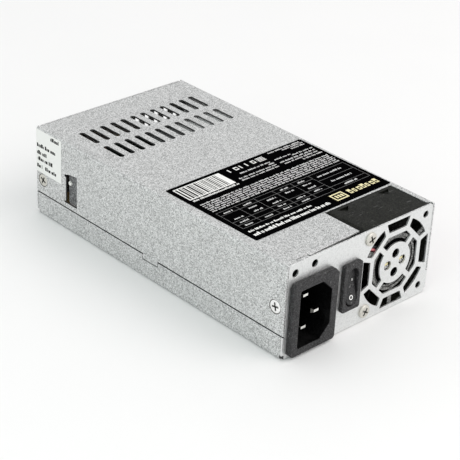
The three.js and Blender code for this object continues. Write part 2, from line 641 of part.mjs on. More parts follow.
// Seesaw button, drawn level in (Y, Z) about its pivot and then tipped: upper end in, lower end out
function switchRocker() {
  const half = ROCKER.length / 2 - 0.5;
  const profile = outline([
    [-2.75, -half], [-2.1, 0], [-2.75, half], [1.2, half - 0.4], [3.4, 2.6], [3.4, -2.6], [1.2, -half + 0.4],
  ].reverse());
  const width = ROCKER.width - 0.6;
  const slab = prism('x', profile, -width / 2, width / 2);
  const plan = prism('y', centred(0, 0, width, 2 * half, width / 2 - 0.01), -6, 6, 3);
  return slab.intersect(plan).rotate([-ROCKER.tilt, 0, 0]).translate([ROCKER.x, ROCKER.pivotY, ROCKER.z]);
}

function buildSwitch() {
  add('switch_body', switchBody(), MATERIALS.blackPlastic);
  add('switch_rocker', switchRocker(), MATERIALS.blackPlastic);
  TERMINALS.forEach((z, i) => {
    const tab = box(SWITCH.x - 1.9, SWITCH.x + 1.9, SWITCH.back - 2, TERMINAL_END, z - 0.4, z + 0.4);
    add(`switch_terminal_${i + 1}`, tab, MATERIALS.brass);
  });
}

// ---- mains leads --------------------------------------------------------------------------

function buildLeads() {
  const radius = 0.9;
  const tab = PIN.tabEnd + 0.7;
  const blade = TERMINAL_END + 0.35;
  const live = SOCKET.z + PIN.pitch / 2;
  const neutral = SOCKET.z - PIN.pitch / 2;
  add('line_lead', wire([
    [PIN.liveX, tab, live], [PIN.liveX + 0.6, tab + 2.4, live + 2.2], [-20, tab + 3.4, 29.5],
    [-11, tab + 2.6, 29.5], [SWITCH.x - 0.4, blade + 2.4, TERMINALS[0] + 1.6], [SWITCH.x, blade, TERMINALS[0]],
  ], radius), MATERIALS.black);
  add('switched_lead', wire([
    [SWITCH.x, blade, TERMINALS[1]], [SWITCH.x, blade + 2.6, TERMINALS[1] - 0.6],
    [SWITCH.x + 0.6, blade + 5.6, 11.5], [SWITCH.x + 1, blade + 6.8, SEAT + 0.3],
  ], radius, 8), MATERIALS.black);
  add('neutral_lead', wire([
    [PIN.liveX, tab, neutral], [PIN.liveX - 0.7, tab + 1.9, neutral + 1],
    [PIN.liveX - 2, tab + 3.7, neutral], [PIN.liveX - 2.5, tab + 4.1, SEAT + 0.3],
  ], radius, 8), MATERIALS.blue);
  add('earth_lead', wire([
    [PIN.earthX, tab, SOCKET.z], [PIN.earthX + 0.1, tab + 1.9, 13.6], [PIN.earthX + 0.6, tab + 0.6, 7.4],
    [PIN.earthX + 0.4, tab - 2, 3.4], [EARTH_SCREW.x + 4.1, EARTH_SCREW.y, 2.5],
  ], radius), MATERIALS.green);
  add('earth_screw', panHeadScrew('z', [EARTH_SCREW.x, EARTH_SCREW.y, FLOOR + TOUCH], 2.85, 1.8, 1.4, 0.75),
    MATERIALS.screw);
  add('fan_lead_red', fanLead(1.95, 31.3, FAN_SOCKET.x - 0.9), MATERIALS.red);
  add('fan_lead_black', fanLead(3.25, 32.6, FAN_SOCKET.x + 0.9), MATERIALS.black);
}

// ---- circuit board and what stands on it ----------------------------------------------------

function mainBoard() {
  let board = box(-BOARD.half, BOARD.half, BOARD.front, BOARD.end, BOARD.z, BOARD_TOP);
  for (const [x, y] of BOSSES) {
    board = board.subtract(rod('z', 1.8, BOARD.z - 1, BOARD_TOP + 1, [x, y, 0], 16));
  }
  return board;
}

// Folded plastic sheet: flat under the board and up inside the inlet side of the cover,
// where its far part stands clear of the fold
function insulatorSheet() {
  const { near, bend, far, right, wallLow, top, thick } = INSULATOR;
  const outer = HALF_W - SHEET - 0.35;
  const low = FLOOR + 0.4;
  const sheet = join(
    box(-outer, right, near, bend, low, low + thick),
    box(-outer, -outer + thick, near, bend, low, top),
    box(-outer, -outer + thick, bend - 1, far, wallLow, top));
  return sheet.subtract(rod('x', 0.7, -2, 2, [-outer, SHEET_RIVET.y, SHEET_RIVET.z], 12));
}

function sheetRivet() {
  const face = -HALF_W + SHEET + 0.35;
  const profile = [[0, -1.6], [0.5, -1.6], [0.5, 0.1], [1.1, 0.1], [0.9, 0.6], [0, 0.75]];
  return turned('-x', profile, [face, SHEET_RIVET.y, SHEET_RIVET.z], 16);
}

function canCapacitor(x, y, radius, top, sides = 20) {
  return turned('z', [
    [0, SEAT], [radius, SEAT], [radius, top - 0.6], [radius - 0.6, top], [radius - 1.6, top],
    [radius - 1.8, top - 0.4], [0, top - 0.4],
  ], [x, y, 0], sides);
}

function woundRing(axis, position, inner, outer, from, to) {
  const soft = 1.6;
  return turned(axis, [
    [inner, from + soft], [inner + soft, from], [outer - soft, from], [outer, from + soft],
    [outer, to - soft], [outer - soft, to], [inner + soft, to], [inner, to - soft], [inner, from + soft],
  ], position, 24);
}

// Ferrite core: a closed loop round the coil with a leg through its middle
const TRANSFORMER = { x: 0, y: 18, halfX: 16, halfY: 8, coilX: 12, coilY: 14, low: 7, top: 35 };

function transformerCore() {
  const { x, y, halfX, halfY, coilX, low, top } = TRANSFORMER;
  const loop = box(x - halfX, x + halfX, y - halfY, y + halfY, low, top);
  const opening = box(x - coilX - 0.3, x + coilX + 0.3, y - halfY - 1, y + halfY + 1, low + 3.4, top - 3.4);
  const leg = box(x - 4, x + 4, y - halfY + 2, y + halfY - 2, low + 1, top - 1);
  return loop.subtract(opening).add(leg);
}

function transformerWinding() {
  const { x, y, halfY, coilX, coilY, low, top } = TRANSFORMER;
  const plan = centred(x, y, 2 * coilX, 2 * coilY, 4);
  const coil = prism('z', plan, low + 3.7, top - 3.7);
  return coil.subtract(box(x - 4.3, x + 4.3, y - halfY + 1.7, y + halfY - 1.7, low, top));
}

function foldedHeatsink(x0, x1, y0, y1, top, lip) {
  const wall = box(x0, x1, y0, y1, SEAT + 0.8, top);
  const shelf = box(lip.x0, lip.x1, lip.y0, lip.y1, top - 2.2, top);
  return wall.add(shelf);
}

function powerDevice(x0, x1, y0, y1) {
  const body = box(x0, x1, y0, y1, 10, 25);
  const middle = (y0 + y1) / 2;
  return body.add(box((x0 + x1) / 2 - 0.4, (x0 + x1) / 2 + 0.4, middle - 1.6, middle + 1.6, SEAT, 10.5));
}

function fuse() {
  const y = BOARD.front + 3.6;
  const z = SEAT + 3;
  const tube = rod('x', 2.2, -28, -8.4, [0, y, z], 16);
  return join(tube, rod('x', 2.7, -28.2, -23.6, [0, y, z], 16), rod('x', 2.7, -12.8, -8.2, [0, y, z], 16));
}

function buildBoard() {
  add('main_board', mainBoard(), MATERIALS.board);
  BOSSES.forEach(([x, y], i) => {
    add(`board_screw_${i + 1}`, panHeadScrew('z', [x, y, SEAT], 2.8, 1.7, 1.4, 4.6), MATERIALS.screw);
  });
  add('insulator_sheet', insulatorSheet(), MATERIALS.sheetPlastic);
  add('sheet_rivet', sheetRivet(), MATERIALS.whitePlastic);
  add('fuse', fuse(), MATERIALS.ceramic);
  add('x_capacitor', prism('z', rectangle(-27, -9, -38, -29, 0.8), SEAT, 22, 1), MATERIALS.tape);
  add('filter_choke', woundRing('z', [3, -34, 0], 4.5, 10.5, SEAT + 0.2, 17.5), MATERIALS.copper);
  add('bridge_rectifier', prism('z', rectangle(16, 31, -38, -34.4, 0.6), SEAT + 0.6, 24, 1), MATERIALS.epoxy);
  add('fan_socket', box(FAN_SOCKET.x - 3, FAN_SOCKET.x + 3, FAN_SOCKET.y - 3, FAN_SOCKET.y + 3,
    SEAT, FAN_SOCKET.top), MATERIALS.whitePlastic);
  add('bulk_capacitor', canCapacitor(-25, -13, 11, 37.4, 28), MATERIALS.sleeve);
  add('boost_inductor', prism('z', rectangle(-10, 12, -20, 0, 3), SEAT, 29, 2), MATERIALS.tape);
  add('primary_heatsink', foldedHeatsink(18, 20.4, -30, 30, 36, { x0: 18, x1: 29, y0: -30, y1: 30 }),
    MATERIALS.aluminium);
  add('primary_transistor', powerDevice(20.7, 25.2, -14, -4), MATERIALS.epoxy);
  add('control_board', box(31, 32.2, -24, 16, SEAT, 30), MATERIALS.board);
  add('transformer_core', transformerCore(), MATERIALS.ferrite);
  add('transformer_winding', transformerWinding(), MATERIALS.tape);
  add('standby_transformer', prism('z', rectangle(-36, -21, 5, 21, 1.5), SEAT, 24, 1), MATERIALS.tape);
  add('secondary_heatsink', foldedHeatsink(-6, 36, 36, 38.4, 38.8, { x0: -6, x1: 36, y0: 31, y1: 45.5 }),
    MATERIALS.aluminium);
  add('output_rectifier', powerDevice(16, 26, 38.7, 43.2), MATERIALS.epoxy);
  add('output_board', box(-18, 9, 54.9, 56.5, SEAT, 32), MATERIALS.darkBoard);
  add('output_inductor', woundRing('y', [-5, 61.6, SEAT + 12.6], 5.2, 12.4, -4, 4), MATERIALS.toroid);
  add('output_capacitor_1', canCapacitor(-26, 43.5, 5, 27), MATERIALS.sleeve);
  add('output_capacitor_2', canCapacitor(-14.5, 43.5, 5, 27), MATERIALS.sleeve);
}

// ---- cable outlet and labels ----------------------------------------------------------------

// Snap bushing: a flange on each side of the far panel and a smooth sleeve between them
function cableBushing() {
  const { x, z, width, height, corner } = OUTLET;
  const gap = 0.2;
  const sleeve = prism('y', centred(x, z, width - 2 * gap, height - 2 * gap, corner - gap),
    FAR - 3.5, FAR - TOUCH);
  const inner = prism('y', centred(x, z, width + 2.4, height + 2.4, corner + 1.2), FAR - 3.5, FAR - SHEET - TOUCH);
  const bore = prism('y', centred(x, z, width - 3.6, height - 3.6, corner - 1.8), FAR - 5, FAR + 2);
  return join(sleeve, inner).subtract(bore);
}

const LABEL_THICK = 0.12;

function ratingLabel() {
  const sheet = toGeometry(prism('z', centred(0, 0, 75.4, 51, 0.8), 0, LABEL_THICK, 1));
  sheet.rotateZ(THREE.MathUtils.degToRad(0.7));
  sheet.translate(1.15, REAR + 47, HEIGHT);
  return toSolid(sheet);
}

// Paper seal folded round the far corner of the inlet side
function sideLabel() {
  const outer = HALF_W + LABEL_THICK;
  const end = FAR + LABEL_THICK;
  const plan = outline([
    [-outer, FAR - 17], [-HALF_W, FAR - 17], [-HALF_W, FAR], [-HALF_W + 18, FAR],
    [-HALF_W + 18, end], [-outer, end],
  ]);
  return prism('z', plan, 20, HEIGHT - 0.9);
}

// ---- assembly -----------------------------------------------------------------------------

add('bottom_tray', bottomTray(), MATERIALS.steel);
add('top_cover', topCover(), MATERIALS.steel);
COVER_SCREWS.forEach((screw, i) => add(`cover_screw_${i + 1}`, coverScrew(screw), MATERIALS.screw));
buildFan();
buildInlet();
buildSwitch();
buildLeads();
buildBoard();
add('cable_bushing', cableBushing(), MATERIALS.blackPlastic);
add('rating_label', ratingLabel(), MATERIALS.labelBlack);
add('side_label', sideLabel(), MATERIALS.labelWhite);

export default unit;
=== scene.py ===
# Looks of a Flex-ATX (1U) power supply unit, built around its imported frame. Shapes are worked out in
# millimetres and scaled to metres as each piece is finished.
import math
import random
from contextlib import contextmanager

import bmesh
import bpy
from mathutils import Matrix, Vector


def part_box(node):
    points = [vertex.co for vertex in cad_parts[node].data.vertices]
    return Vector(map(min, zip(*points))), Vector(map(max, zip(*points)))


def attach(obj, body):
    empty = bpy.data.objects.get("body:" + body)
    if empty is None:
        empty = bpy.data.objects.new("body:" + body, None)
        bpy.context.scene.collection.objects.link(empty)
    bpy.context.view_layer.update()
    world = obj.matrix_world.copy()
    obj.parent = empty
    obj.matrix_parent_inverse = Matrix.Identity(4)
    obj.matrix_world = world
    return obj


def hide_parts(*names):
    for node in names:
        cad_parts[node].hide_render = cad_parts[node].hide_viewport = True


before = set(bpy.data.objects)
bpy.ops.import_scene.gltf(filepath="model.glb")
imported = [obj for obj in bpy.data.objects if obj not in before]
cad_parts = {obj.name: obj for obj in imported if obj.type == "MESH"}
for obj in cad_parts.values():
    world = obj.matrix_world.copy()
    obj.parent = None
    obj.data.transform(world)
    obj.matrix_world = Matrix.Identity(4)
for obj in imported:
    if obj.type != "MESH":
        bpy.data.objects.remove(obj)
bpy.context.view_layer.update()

MM = 0.001
ARC_STEP = math.radians(9)


def span(node):
    """Lowest and highest corner of a CAD node, in millimetres."""
    low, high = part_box(node)
    return low / MM, high / MM


def middle(node):
    low, high = span(node)
    return (low + high) / 2


# ---- driving dimensions, in millimetres ----

HALF_W, FAR, HEIGHT = (round(value, 2) for value in span("top_cover")[1])
REAR = -FAR
SHEET = 0.8
LOOSE = 0.15
TOUCH = 0.05
BEND = 1.2
SEAM_Z = 10
INSIDE = HALF_W - SHEET
PANEL_HALF = INSIDE - LOOSE
TONGUE = {"near": -4, "far": 5, "low": 7.5}
TAB = {"left": -34.25, "right": -28.75, "depth": 1.9}
WINDOW = {"left": -0.25, "right": 37.75, "depth": 20.85}
SLOTS = {"count": 12, "pitch": 5.5, "first": -30.25, "width": 2.4, "length": 12, "rows": (36.5, 52.5)}
SIDE_WINDOW = {"near": 47.7, "far": 55, "low": 12.5, "high": 27}
OUTLET = {"x": -15.5, "z": 13.2, "width": 22, "height": 13, "corner": 5}
END_SLOTS = {"count": 5, "first": 14.25, "low": 16.2, "high": 31, "first_low": 26, "last_high": 25.8}
SEAM_GAP = 0.5

FAN_X, FAN_Z = middle("fan_shaft").x, middle("fan_shaft").z
FAN_AXIS = (FAN_X, 0, FAN_Z)
FAN_FRONT, FAN_BACK = span("fan_frame")[0].y, span("fan_frame")[1].y
FAN_PITCH = 32
FAN_BORE = 18.8
FAN_HALF = 19.75
GRILLE = {"hub": 8.8, "inner": 12.5, "outer": 14.6, "reach": 18.7, "hole": 2, "hole_at": 4.2}
STRUTS = (30, 150, 270)
BLADES = 7

INLET_LOW, INLET_HIGH = span("inlet_body")
PIN_NODES = [f"inlet_pin_{name}" for name in ("line", "neutral", "earth")]
SOCKET = {"x": -26.65, "z": 16.5, "width": 16.8, "height": 25, "chamfer": 5, "depth": 14}
SWITCH_LOW, SWITCH_HIGH = span("switch_body")
ROCKER = {"x": -6.15, "z": 19.75, "width": 6, "length": 16.5, "pivot": REAR + 1.5, "tilt": 9, "dish": 0.65}
ROCKER_HALF = ROCKER["length"] / 2 - 0.35
ROCKER_GAP = 0.2

COVER_SCREWS = [(f"cover_screw_{i}", middle(f"cover_screw_{i}")) for i in range(1, 5)]
PANEL_HOLES = ((-36.35, 36.2), (-26.25, 36.8))

LABEL = {"width": 75.4, "height": 51, "turn": math.radians(0.7)}
PRINT_TOP = 0.015
PRINT_SUNK = -0.03


# ---- mesh helpers ----

@contextmanager
def editing(mesh):
    """A mesh opened for editing and written back afterwards."""
    shape = bmesh.new()
    shape.from_mesh(mesh)
    yield shape
    shape.to_mesh(mesh)
    shape.free()


def linked(data):
    """New object in the scene that shows a mesh, camera or light."""
    made = bpy.data.objects.new(data.name, data)
    bpy.context.scene.collection.objects.link(made)
    return made


def solid(vertices, faces):
    """Closed mesh object from points and faces, with its faces turned outwards."""
    mesh = bpy.data.meshes.new("solid")
    mesh.from_pydata([tuple(point) for point in vertices], [], faces)
    with editing(mesh) as shape:
        bmesh.ops.remove_doubles(shape, verts=shape.verts, dist=1e-5)
        bmesh.ops.recalc_face_normals(shape, faces=shape.faces)
    return linked(mesh)


def loft(rings, closed=False):
    """Solid through rings of equally many points; its ends are single faces, or joined up if closed."""
    count, total = len(rings[0]), sum(len(ring) for ring in rings)
    faces = [] if closed else [tuple(range(count)), tuple(range(total - count, total))]
    for a in range(0, total if closed else total - count, count):
        b = (a + count) % total
        faces += [(a + i, a + (i + 1) % count, b + (i + 1) % count, b + i) for i in range(count)]
    return solid([point for ring in rings for point in ring], faces)


AXES = {
    "x": lambda u, v, along: Vector((along, u, v)),
    "y": lambda u, v, along: Vector((u, along, v)),
    "z": lambda u, v, along: Vector((u, v, along)),
}


def outline(*corners):
    """Closed outline through corners (u, v) or (u, v, radius), rounded by arcs."""
    points = []
    for i, (u, v, *radius) in enumerate(corners):
        if not radius or not radius[0]:
            points.append((u, v))
            continue
        here = Vector((u, v))
        back = (Vector(corners[i - 1][:2]) - here).normalized()
        ahead = (Vector(corners[(i + 1) % len(corners)][:2]) - here).normalized()
        half = back.angle(ahead) / 2
        centre = here + (back + ahead).normalized() * (radius[0] / math.sin(half))
        start = here + back * (radius[0] / math.tan(half)) - centre
        sweep = math.copysign(math.pi - 2 * half, ahead.cross(back))
        steps = max(3, math.ceil(abs(sweep) / ARC_STEP))
        for k in range(steps + 1):
            points.append(tuple(centre + Matrix.Rotation(sweep * k / steps, 2) @ start))
    return points


def rectangle(u0, u1, v0, v1, radius=0):
    return outline((u0, v0, radius), (u1, v0, radius), (u1, v1, radius), (u0, v1, radius))


def centred(u, v, width, height, radius=0):
    return rectangle(u - width / 2, u + width / 2, v - height / 2, v + height / 2, radius)


def polygon(u, v, apothem, sides):
    radius = apothem / math.cos(math.pi / sides)
    turns = [2 * math.pi * (i + 0.5) / sides for i in range(sides)]
    return [(u + radius * math.cos(turn), v + radius * math.sin(turn)) for turn in turns]


def prism(axis, points, start, end):
    return loft([[AXES[axis](u, v, along) for u, v in points] for along in (start, end)])


def block(x0, x1, y0, y1, z0, z1):
    return prism("z", rectangle(x0, x1, y0, y1), z0, z1)


def lathe(axis, profile, centre, sides=48):
    """Round solid; its profile of (radius, distance along) runs from axis to axis or closes on itself."""
    turns = [2 * math.pi * k / sides for k in range(sides)]
    rings = [[AXES[axis](radius * math.cos(turn), radius * math.sin(turn), along) + Vector(centre)
              for turn in turns] for radius, along in profile]
    return loft(rings, closed=profile[0][0] > 0)


def rod(axis, radius, start, end, centre, sides=48):
    return lathe(axis, [(0, start), (radius, start), (radius, end), (0, end)], centre, sides)


def moved(made, matrix):
    made.data.transform(matrix)
    return made


def round_fan(made, turn):
    """Moves a shape drawn round the Y axis to the fan's axis, turned by an angle."""
    return moved(made, Matrix.Translation(FAN_AXIS) @ Matrix.Rotation(turn, 4, "Y"))


def radial_bar(degrees, inner, outer, width, y0, y1):
    """Bar laid radially round the fan's axis, in the plane of the rear panel."""
    return round_fan(block(inner, outer, y0, y1, -width / 2, width / 2), -math.radians(degrees))


def combine(body, tools, operation):
    """Cuts, joins or crosses a solid with others, which are used up."""
    holder = bpy.data.collections.new("tools")
    bpy.context.scene.collection.children.link(holder)
    for tool in tools:
        holder.objects.link(tool)
    modifier = body.modifiers.new("combine", "BOOLEAN")
    modifier.operation = operation
    modifier.solver = "EXACT"
    modifier.operand_type = "COLLECTION"
    modifier.collection = holder
    evaluated = body.evaluated_get(bpy.context.evaluated_depsgraph_get())
    mesh = bpy.data.meshes.new_from_object(evaluated)
    body.modifiers.clear()
    body.data = mesh
    for tool in tools:
        bpy.data.objects.remove(tool, do_unlink=True)
    bpy.data.collections.remove(holder)
    return body


def cut(body, *tools):
    return combine(body, tools, "DIFFERENCE")


def join(body, *tools):
    return combine(body, tools, "UNION")


def merge_faces(shape):
    """Joins the level faces that cuts left in several parts."""
    bmesh.ops.dissolve_limit(shape, angle_limit=math.radians(1), verts=shape.verts, edges=shape.edges)


def gathered(shapes):
    """Several separate solids as one object."""
    mesh = bpy.data.meshes.new("solid")
    with editing(mesh) as shape:
        for made in shapes:
            shape.from_mesh(made.data)
            bpy.data.objects.remove(made, do_unlink=True)
    return linked(mesh)


def soften(made, width, segments=2, degrees=32):
    """Small rounds along an object's sharp edges, with the flat faces kept flat in shading."""
    modifier = made.modifiers.new("rounds", "BEVEL")
    modifier.width = width * MM
    modifier.segments = segments
    modifier.limit_method = "ANGLE"
    modifier.angle_limit = math.radians(degrees)
    modifier.use_clamp_overlap = False
    modifier.harden_normals = True


def piece(name, made, slot, replaces=(), finish=None, body="case", rounds=0.1, segments=2):
    """Finishes an object drawn in millimetres: its scale, name, finish, rounded edges and body."""
    made.name = name
    made.data.name = name
    made.data.transform(Matrix.Scale(MM, 4))
    made.data.materials.clear()
    made.data.materials.append(MATERIALS[finish or slot])
    with editing(made.data) as shape:
        bmesh.ops.remove_doubles(shape, verts=shape.verts, dist=1e-7)
        bmesh.ops.recalc_face_normals(shape, faces=shape.faces)
        for face in shape.faces:
            face.smooth = True
    if rounds:
        soften(made, rounds, segments)
    else:
        made.data.set_sharp_from_angle(angle=math.radians(32))
    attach(made, body)
    if replaces:
        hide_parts(*replaces)
    return made


def refinish(made, finish, chosen):
    """Gives the faces whose centre and normal pass a test another finish."""
    made.data.materials.append(MATERIALS[finish])
    index = len(made.data.materials) - 1
    for face in made.data.polygons:
        if chosen(face.center / MM, face.normal):
            face.material_index = index


def inside(spot, low, high):
    """Whether a point lies between two corners."""
    return all(a < b < c for a, b, c in zip(low, spot, high))


# ---- materials ----

class Finish:
    """Procedural material: a Principled shader with helpers that add texture nodes in metres."""

    def __init__(self, colour, roughness, metallic=0.0, gloss=0.5):
        self.material = bpy.data.materials.new("finish")
        self.material.use_nodes = True
        self.nodes = self.material.node_tree.nodes
        self.shader = self.nodes["Principled BSDF"].inputs
        self.shader["Roughness"].default_value = roughness
        self.shader["Metallic"].default_value = metallic
        self.shader["Specular IOR Level"].default_value = gloss
        self.colour = (*colour, 1)
        self.height = None
        self.place = self.node("TexCoord", {}, "Object")

    def put(self, socket, value):
        """Sets a socket to a value or links it to a node's output."""
        if isinstance(value, bpy.types.NodeSocket):
            self.material.node_tree.links.new(value, socket)
        else:
            socket.default_value = value

    def node(self, kind, sockets, output=0, **settings):
        """One output of a new node, whose settings and sockets are given."""
        made = self.nodes.new("ShaderNode" + kind)
        for name, value in settings.items():
            setattr(made, name, value)
        for name, value in sockets.items():
            self.put(made.inputs[name], value)
        return made.outputs[output]

    def stretched(self, scale):
        return self.node("Mapping", {"Scale": scale, "Vector": self.place})

    def noise(self, size, detail=3.0, rough=0.55, place=None):
        """Noise whose features are about size millimetres across."""
        return self.node("TexNoise", {"Scale": 1 / (size * MM), "Detail": detail, "Roughness": rough,
                                      "Vector": place or self.place}, "Fac")

    def cells(self, size, output="Color"):
        return self.node("TexVoronoi", {"Scale": 1 / (size * MM), "Vector": self.place}, output)

    def between(self, value, low, high, bottom=0.0, top=1.0):
        """Remaps value from low..high to bottom..top, clamped."""
        return self.node("MapRange", {"From Min": low, "From Max": high, "To Min": bottom, "To Max": top,
                                      "Value": value})

    def math(self, operation, a, b=0.0):
        return self.node("Math", {0: a, 1: b}, operation=operation)

    def axis(self, letter):
        return self.node("SeparateXYZ", {0: self.place}, letter)

    def tint(self, colour, texture, low, high, amount):
        """Mixes a colour over what is there, by up to an amount as a texture goes from low to high."""
        share = self.between(texture, low, high, 0, amount)
        self.colour = self.node("Mix", {"A": self.colour, "B": (*colour, 1), "Factor": share}, "Result",
                                data_type="RGBA")

    def vary(self, value, low, high):
        """Roughness that follows a texture."""
        self.put(self.shader["Roughness"], self.between(value, 0.3, 0.7, low, high))

    def bump(self, value, depth, strength=1.0):
        """Relief of depth millimetres that follows a texture."""
        self.height = self.node("Bump", {"Strength": strength, "Distance": depth * MM, "Height": value})

    def done(self):
        self.put(self.shader["Base Color"], self.colour)
        if self.height:
            self.put(self.shader["Normal"], self.height)
        return self.material


def grey(value):
    return (value, value, value)


def shade(colour, factor, lift=0.0):
    return [min(1, channel * factor + lift) for channel in colour]


def galvanised(tone, speckle, roughness, grain_size):
    """Zinc-coated sheet: crystalline speckle, faint clouds and rolling streaks, a few dull rubs."""
    finish = Finish((tone * 0.985, tone, tone * 0.995), roughness, 0.8)
    grain = finish.cells(grain_size)
    fine = finish.noise(grain_size * 0.7, 1.0)
    streaks = finish.noise(0.5, 2, place=finish.stretched((1, 0.03, 1)))
    dark, light = tone * 0.2, min(1, tone * 1.5)
    finish.tint((dark * 0.97, dark, dark), grain, 0.5, 0.15, speckle)
    finish.tint(grey(light), grain, 0.5, 0.85, speckle)
    finish.tint(grey(dark), fine, 0.52, 0.72, speckle * 0.7)
    finish.tint(grey(tone * 0.72), finish.noise(38, 3), 0.45, 0.8, 0.14)
    finish.tint(grey(light), streaks, 0.58, 0.75, 0.15)
    finish.vary(grain, roughness - 0.06, roughness + 0.1)
    finish.bump(fine, 0.02, 0.4 * speckle + 0.1)
    return finish.done()


def metal(colour, roughness, metallic=1.0, wear=0.25):
    """Plated or bare metal with handling marks and slight tarnish."""
    finish = Finish(colour, roughness, metallic)
    marks = finish.noise(1.6, 4, 0.65)
    finish.tint(shade(colour, 0.55), marks, 0.5, 0.8, wear)
    finish.vary(marks, roughness - 0.05, roughness + 0.12)
    finish.bump(finish.noise(0.25, 2), 0.012, 0.3)
    return finish.done()


def painted_light_shade_shelf():
    """Brushed aluminium painted near white as painted light, with painted shade over its low-X part."""
    finish = Finish(grey(0.96), 0.6, 0.1)
    strokes = finish.noise(0.5, 2, place=finish.stretched((0.04, 1, 1)))
    finish.tint(grey(0.75), strokes, 0.5, 0.7, 0.3)
    # Painted shade: darkening from 12 mm down to 8 mm in X, strongest below that.
    finish.tint(grey(0.12), finish.axis("X"), 12 * MM, 8 * MM, 0.85)
    finish.bump(strokes, 0.01, 0.3)
    return finish.done()


def moulded(colour, roughness, grain=0.9, depth=0.03, gloss=0.3, dust=0.35, scuffs=0):
    """Injection-moulded plastic with a spark-eroded texture, rub marks and specks of dust."""
    finish = Finish(colour, roughness, gloss=gloss)
    texture = finish.noise(grain, 2, 0.6)
    specks = finish.cells(0.4)
    finish.tint(shade(colour, 2.6), texture, 0.5, 0.66, 0.7)
    finish.tint(shade(colour, 3.6), specks, 0.5, 0.85, 0.9)
    finish.tint(shade(colour, 0.2), specks, 0.5, 0.2, 0.9)
    finish.tint(shade(colour, 1.3, 0.02), finish.noise(9, 4, 0.7), 0.52, 0.75, 0.45)
    finish.tint(grey(0.4), finish.noise(0.8, 0), 0.76, 0.82, dust)
    if scuffs:
        rubbed = finish.noise(1.6, 4, 0.7, place=finish.stretched((0.25, 1, 1)))
        finish.tint(grey(0.14), rubbed, 0.6, 0.72, scuffs)
    finish.vary(texture, roughness - 0.08, roughness + 0.12)
    finish.bump(texture, depth, 0.6)
    return finish.done()


def wound(colour, dark, pitch):
    """Turns of wire or edges of tape, one above another every pitch millimetres."""
    finish = Finish(colour, 0.38)
    phase = finish.math("MULTIPLY", finish.axis("Z"), 2 * math.pi / (pitch * MM))
    wave = finish.between(finish.math("SINE", phase), -1, 1)
    finish.tint(dark, wave, 0.45, 0, 0.8)
    finish.tint(shade(colour, 0.6), finish.noise(3, 3), 0.45, 0.7, 0.4)
    finish.bump(wave, 0.12, 0.6)
    return finish.done()


def laminate(colour):
    """Circuit board: woven laminate under a thin lacquer, with a hint of its fibre weave."""
    finish = Finish(colour, 0.42)
    weave = finish.cells(0.9, "Distance")
    finish.tint(shade(colour, 1.45), weave, 0.2, 0.6, 0.35)
    finish.tint(shade(colour, 0.5), finish.noise(14, 3), 0.5, 0.7, 0.4)
    finish.bump(weave, 0.02, 0.3)
    return finish.done()


def paper(colour, roughness, gloss=0.3):
    """Printed paper or film: faint fibres and handling marks."""
    finish = Finish(colour, roughness, gloss=gloss)
    fibres = finish.noise(0.3, 3, 0.7)
    finish.tint(shade(colour, 0.86), fibres, 0.5, 0.7, 0.35)
    finish.tint(shade(colour, 0.8), finish.noise(12, 3), 0.5, 0.75, 0.3)
    finish.vary(fibres, roughness - 0.05, roughness + 0.08)
    finish.bump(fibres, 0.01, 0.35)
    return finish.done()


def insulation(colour):
    """Wire insulation: slightly uneven gloss."""
    finish = Finish(colour, 0.35)
    marks = finish.noise(1.2, 3)
    finish.tint(shade(colour, 0.6), marks, 0.5, 0.75, 0.4)
    finish.vary(marks, 0.28, 0.5)
    finish.bump(marks, 0.02, 0.3)
    return finish.done()


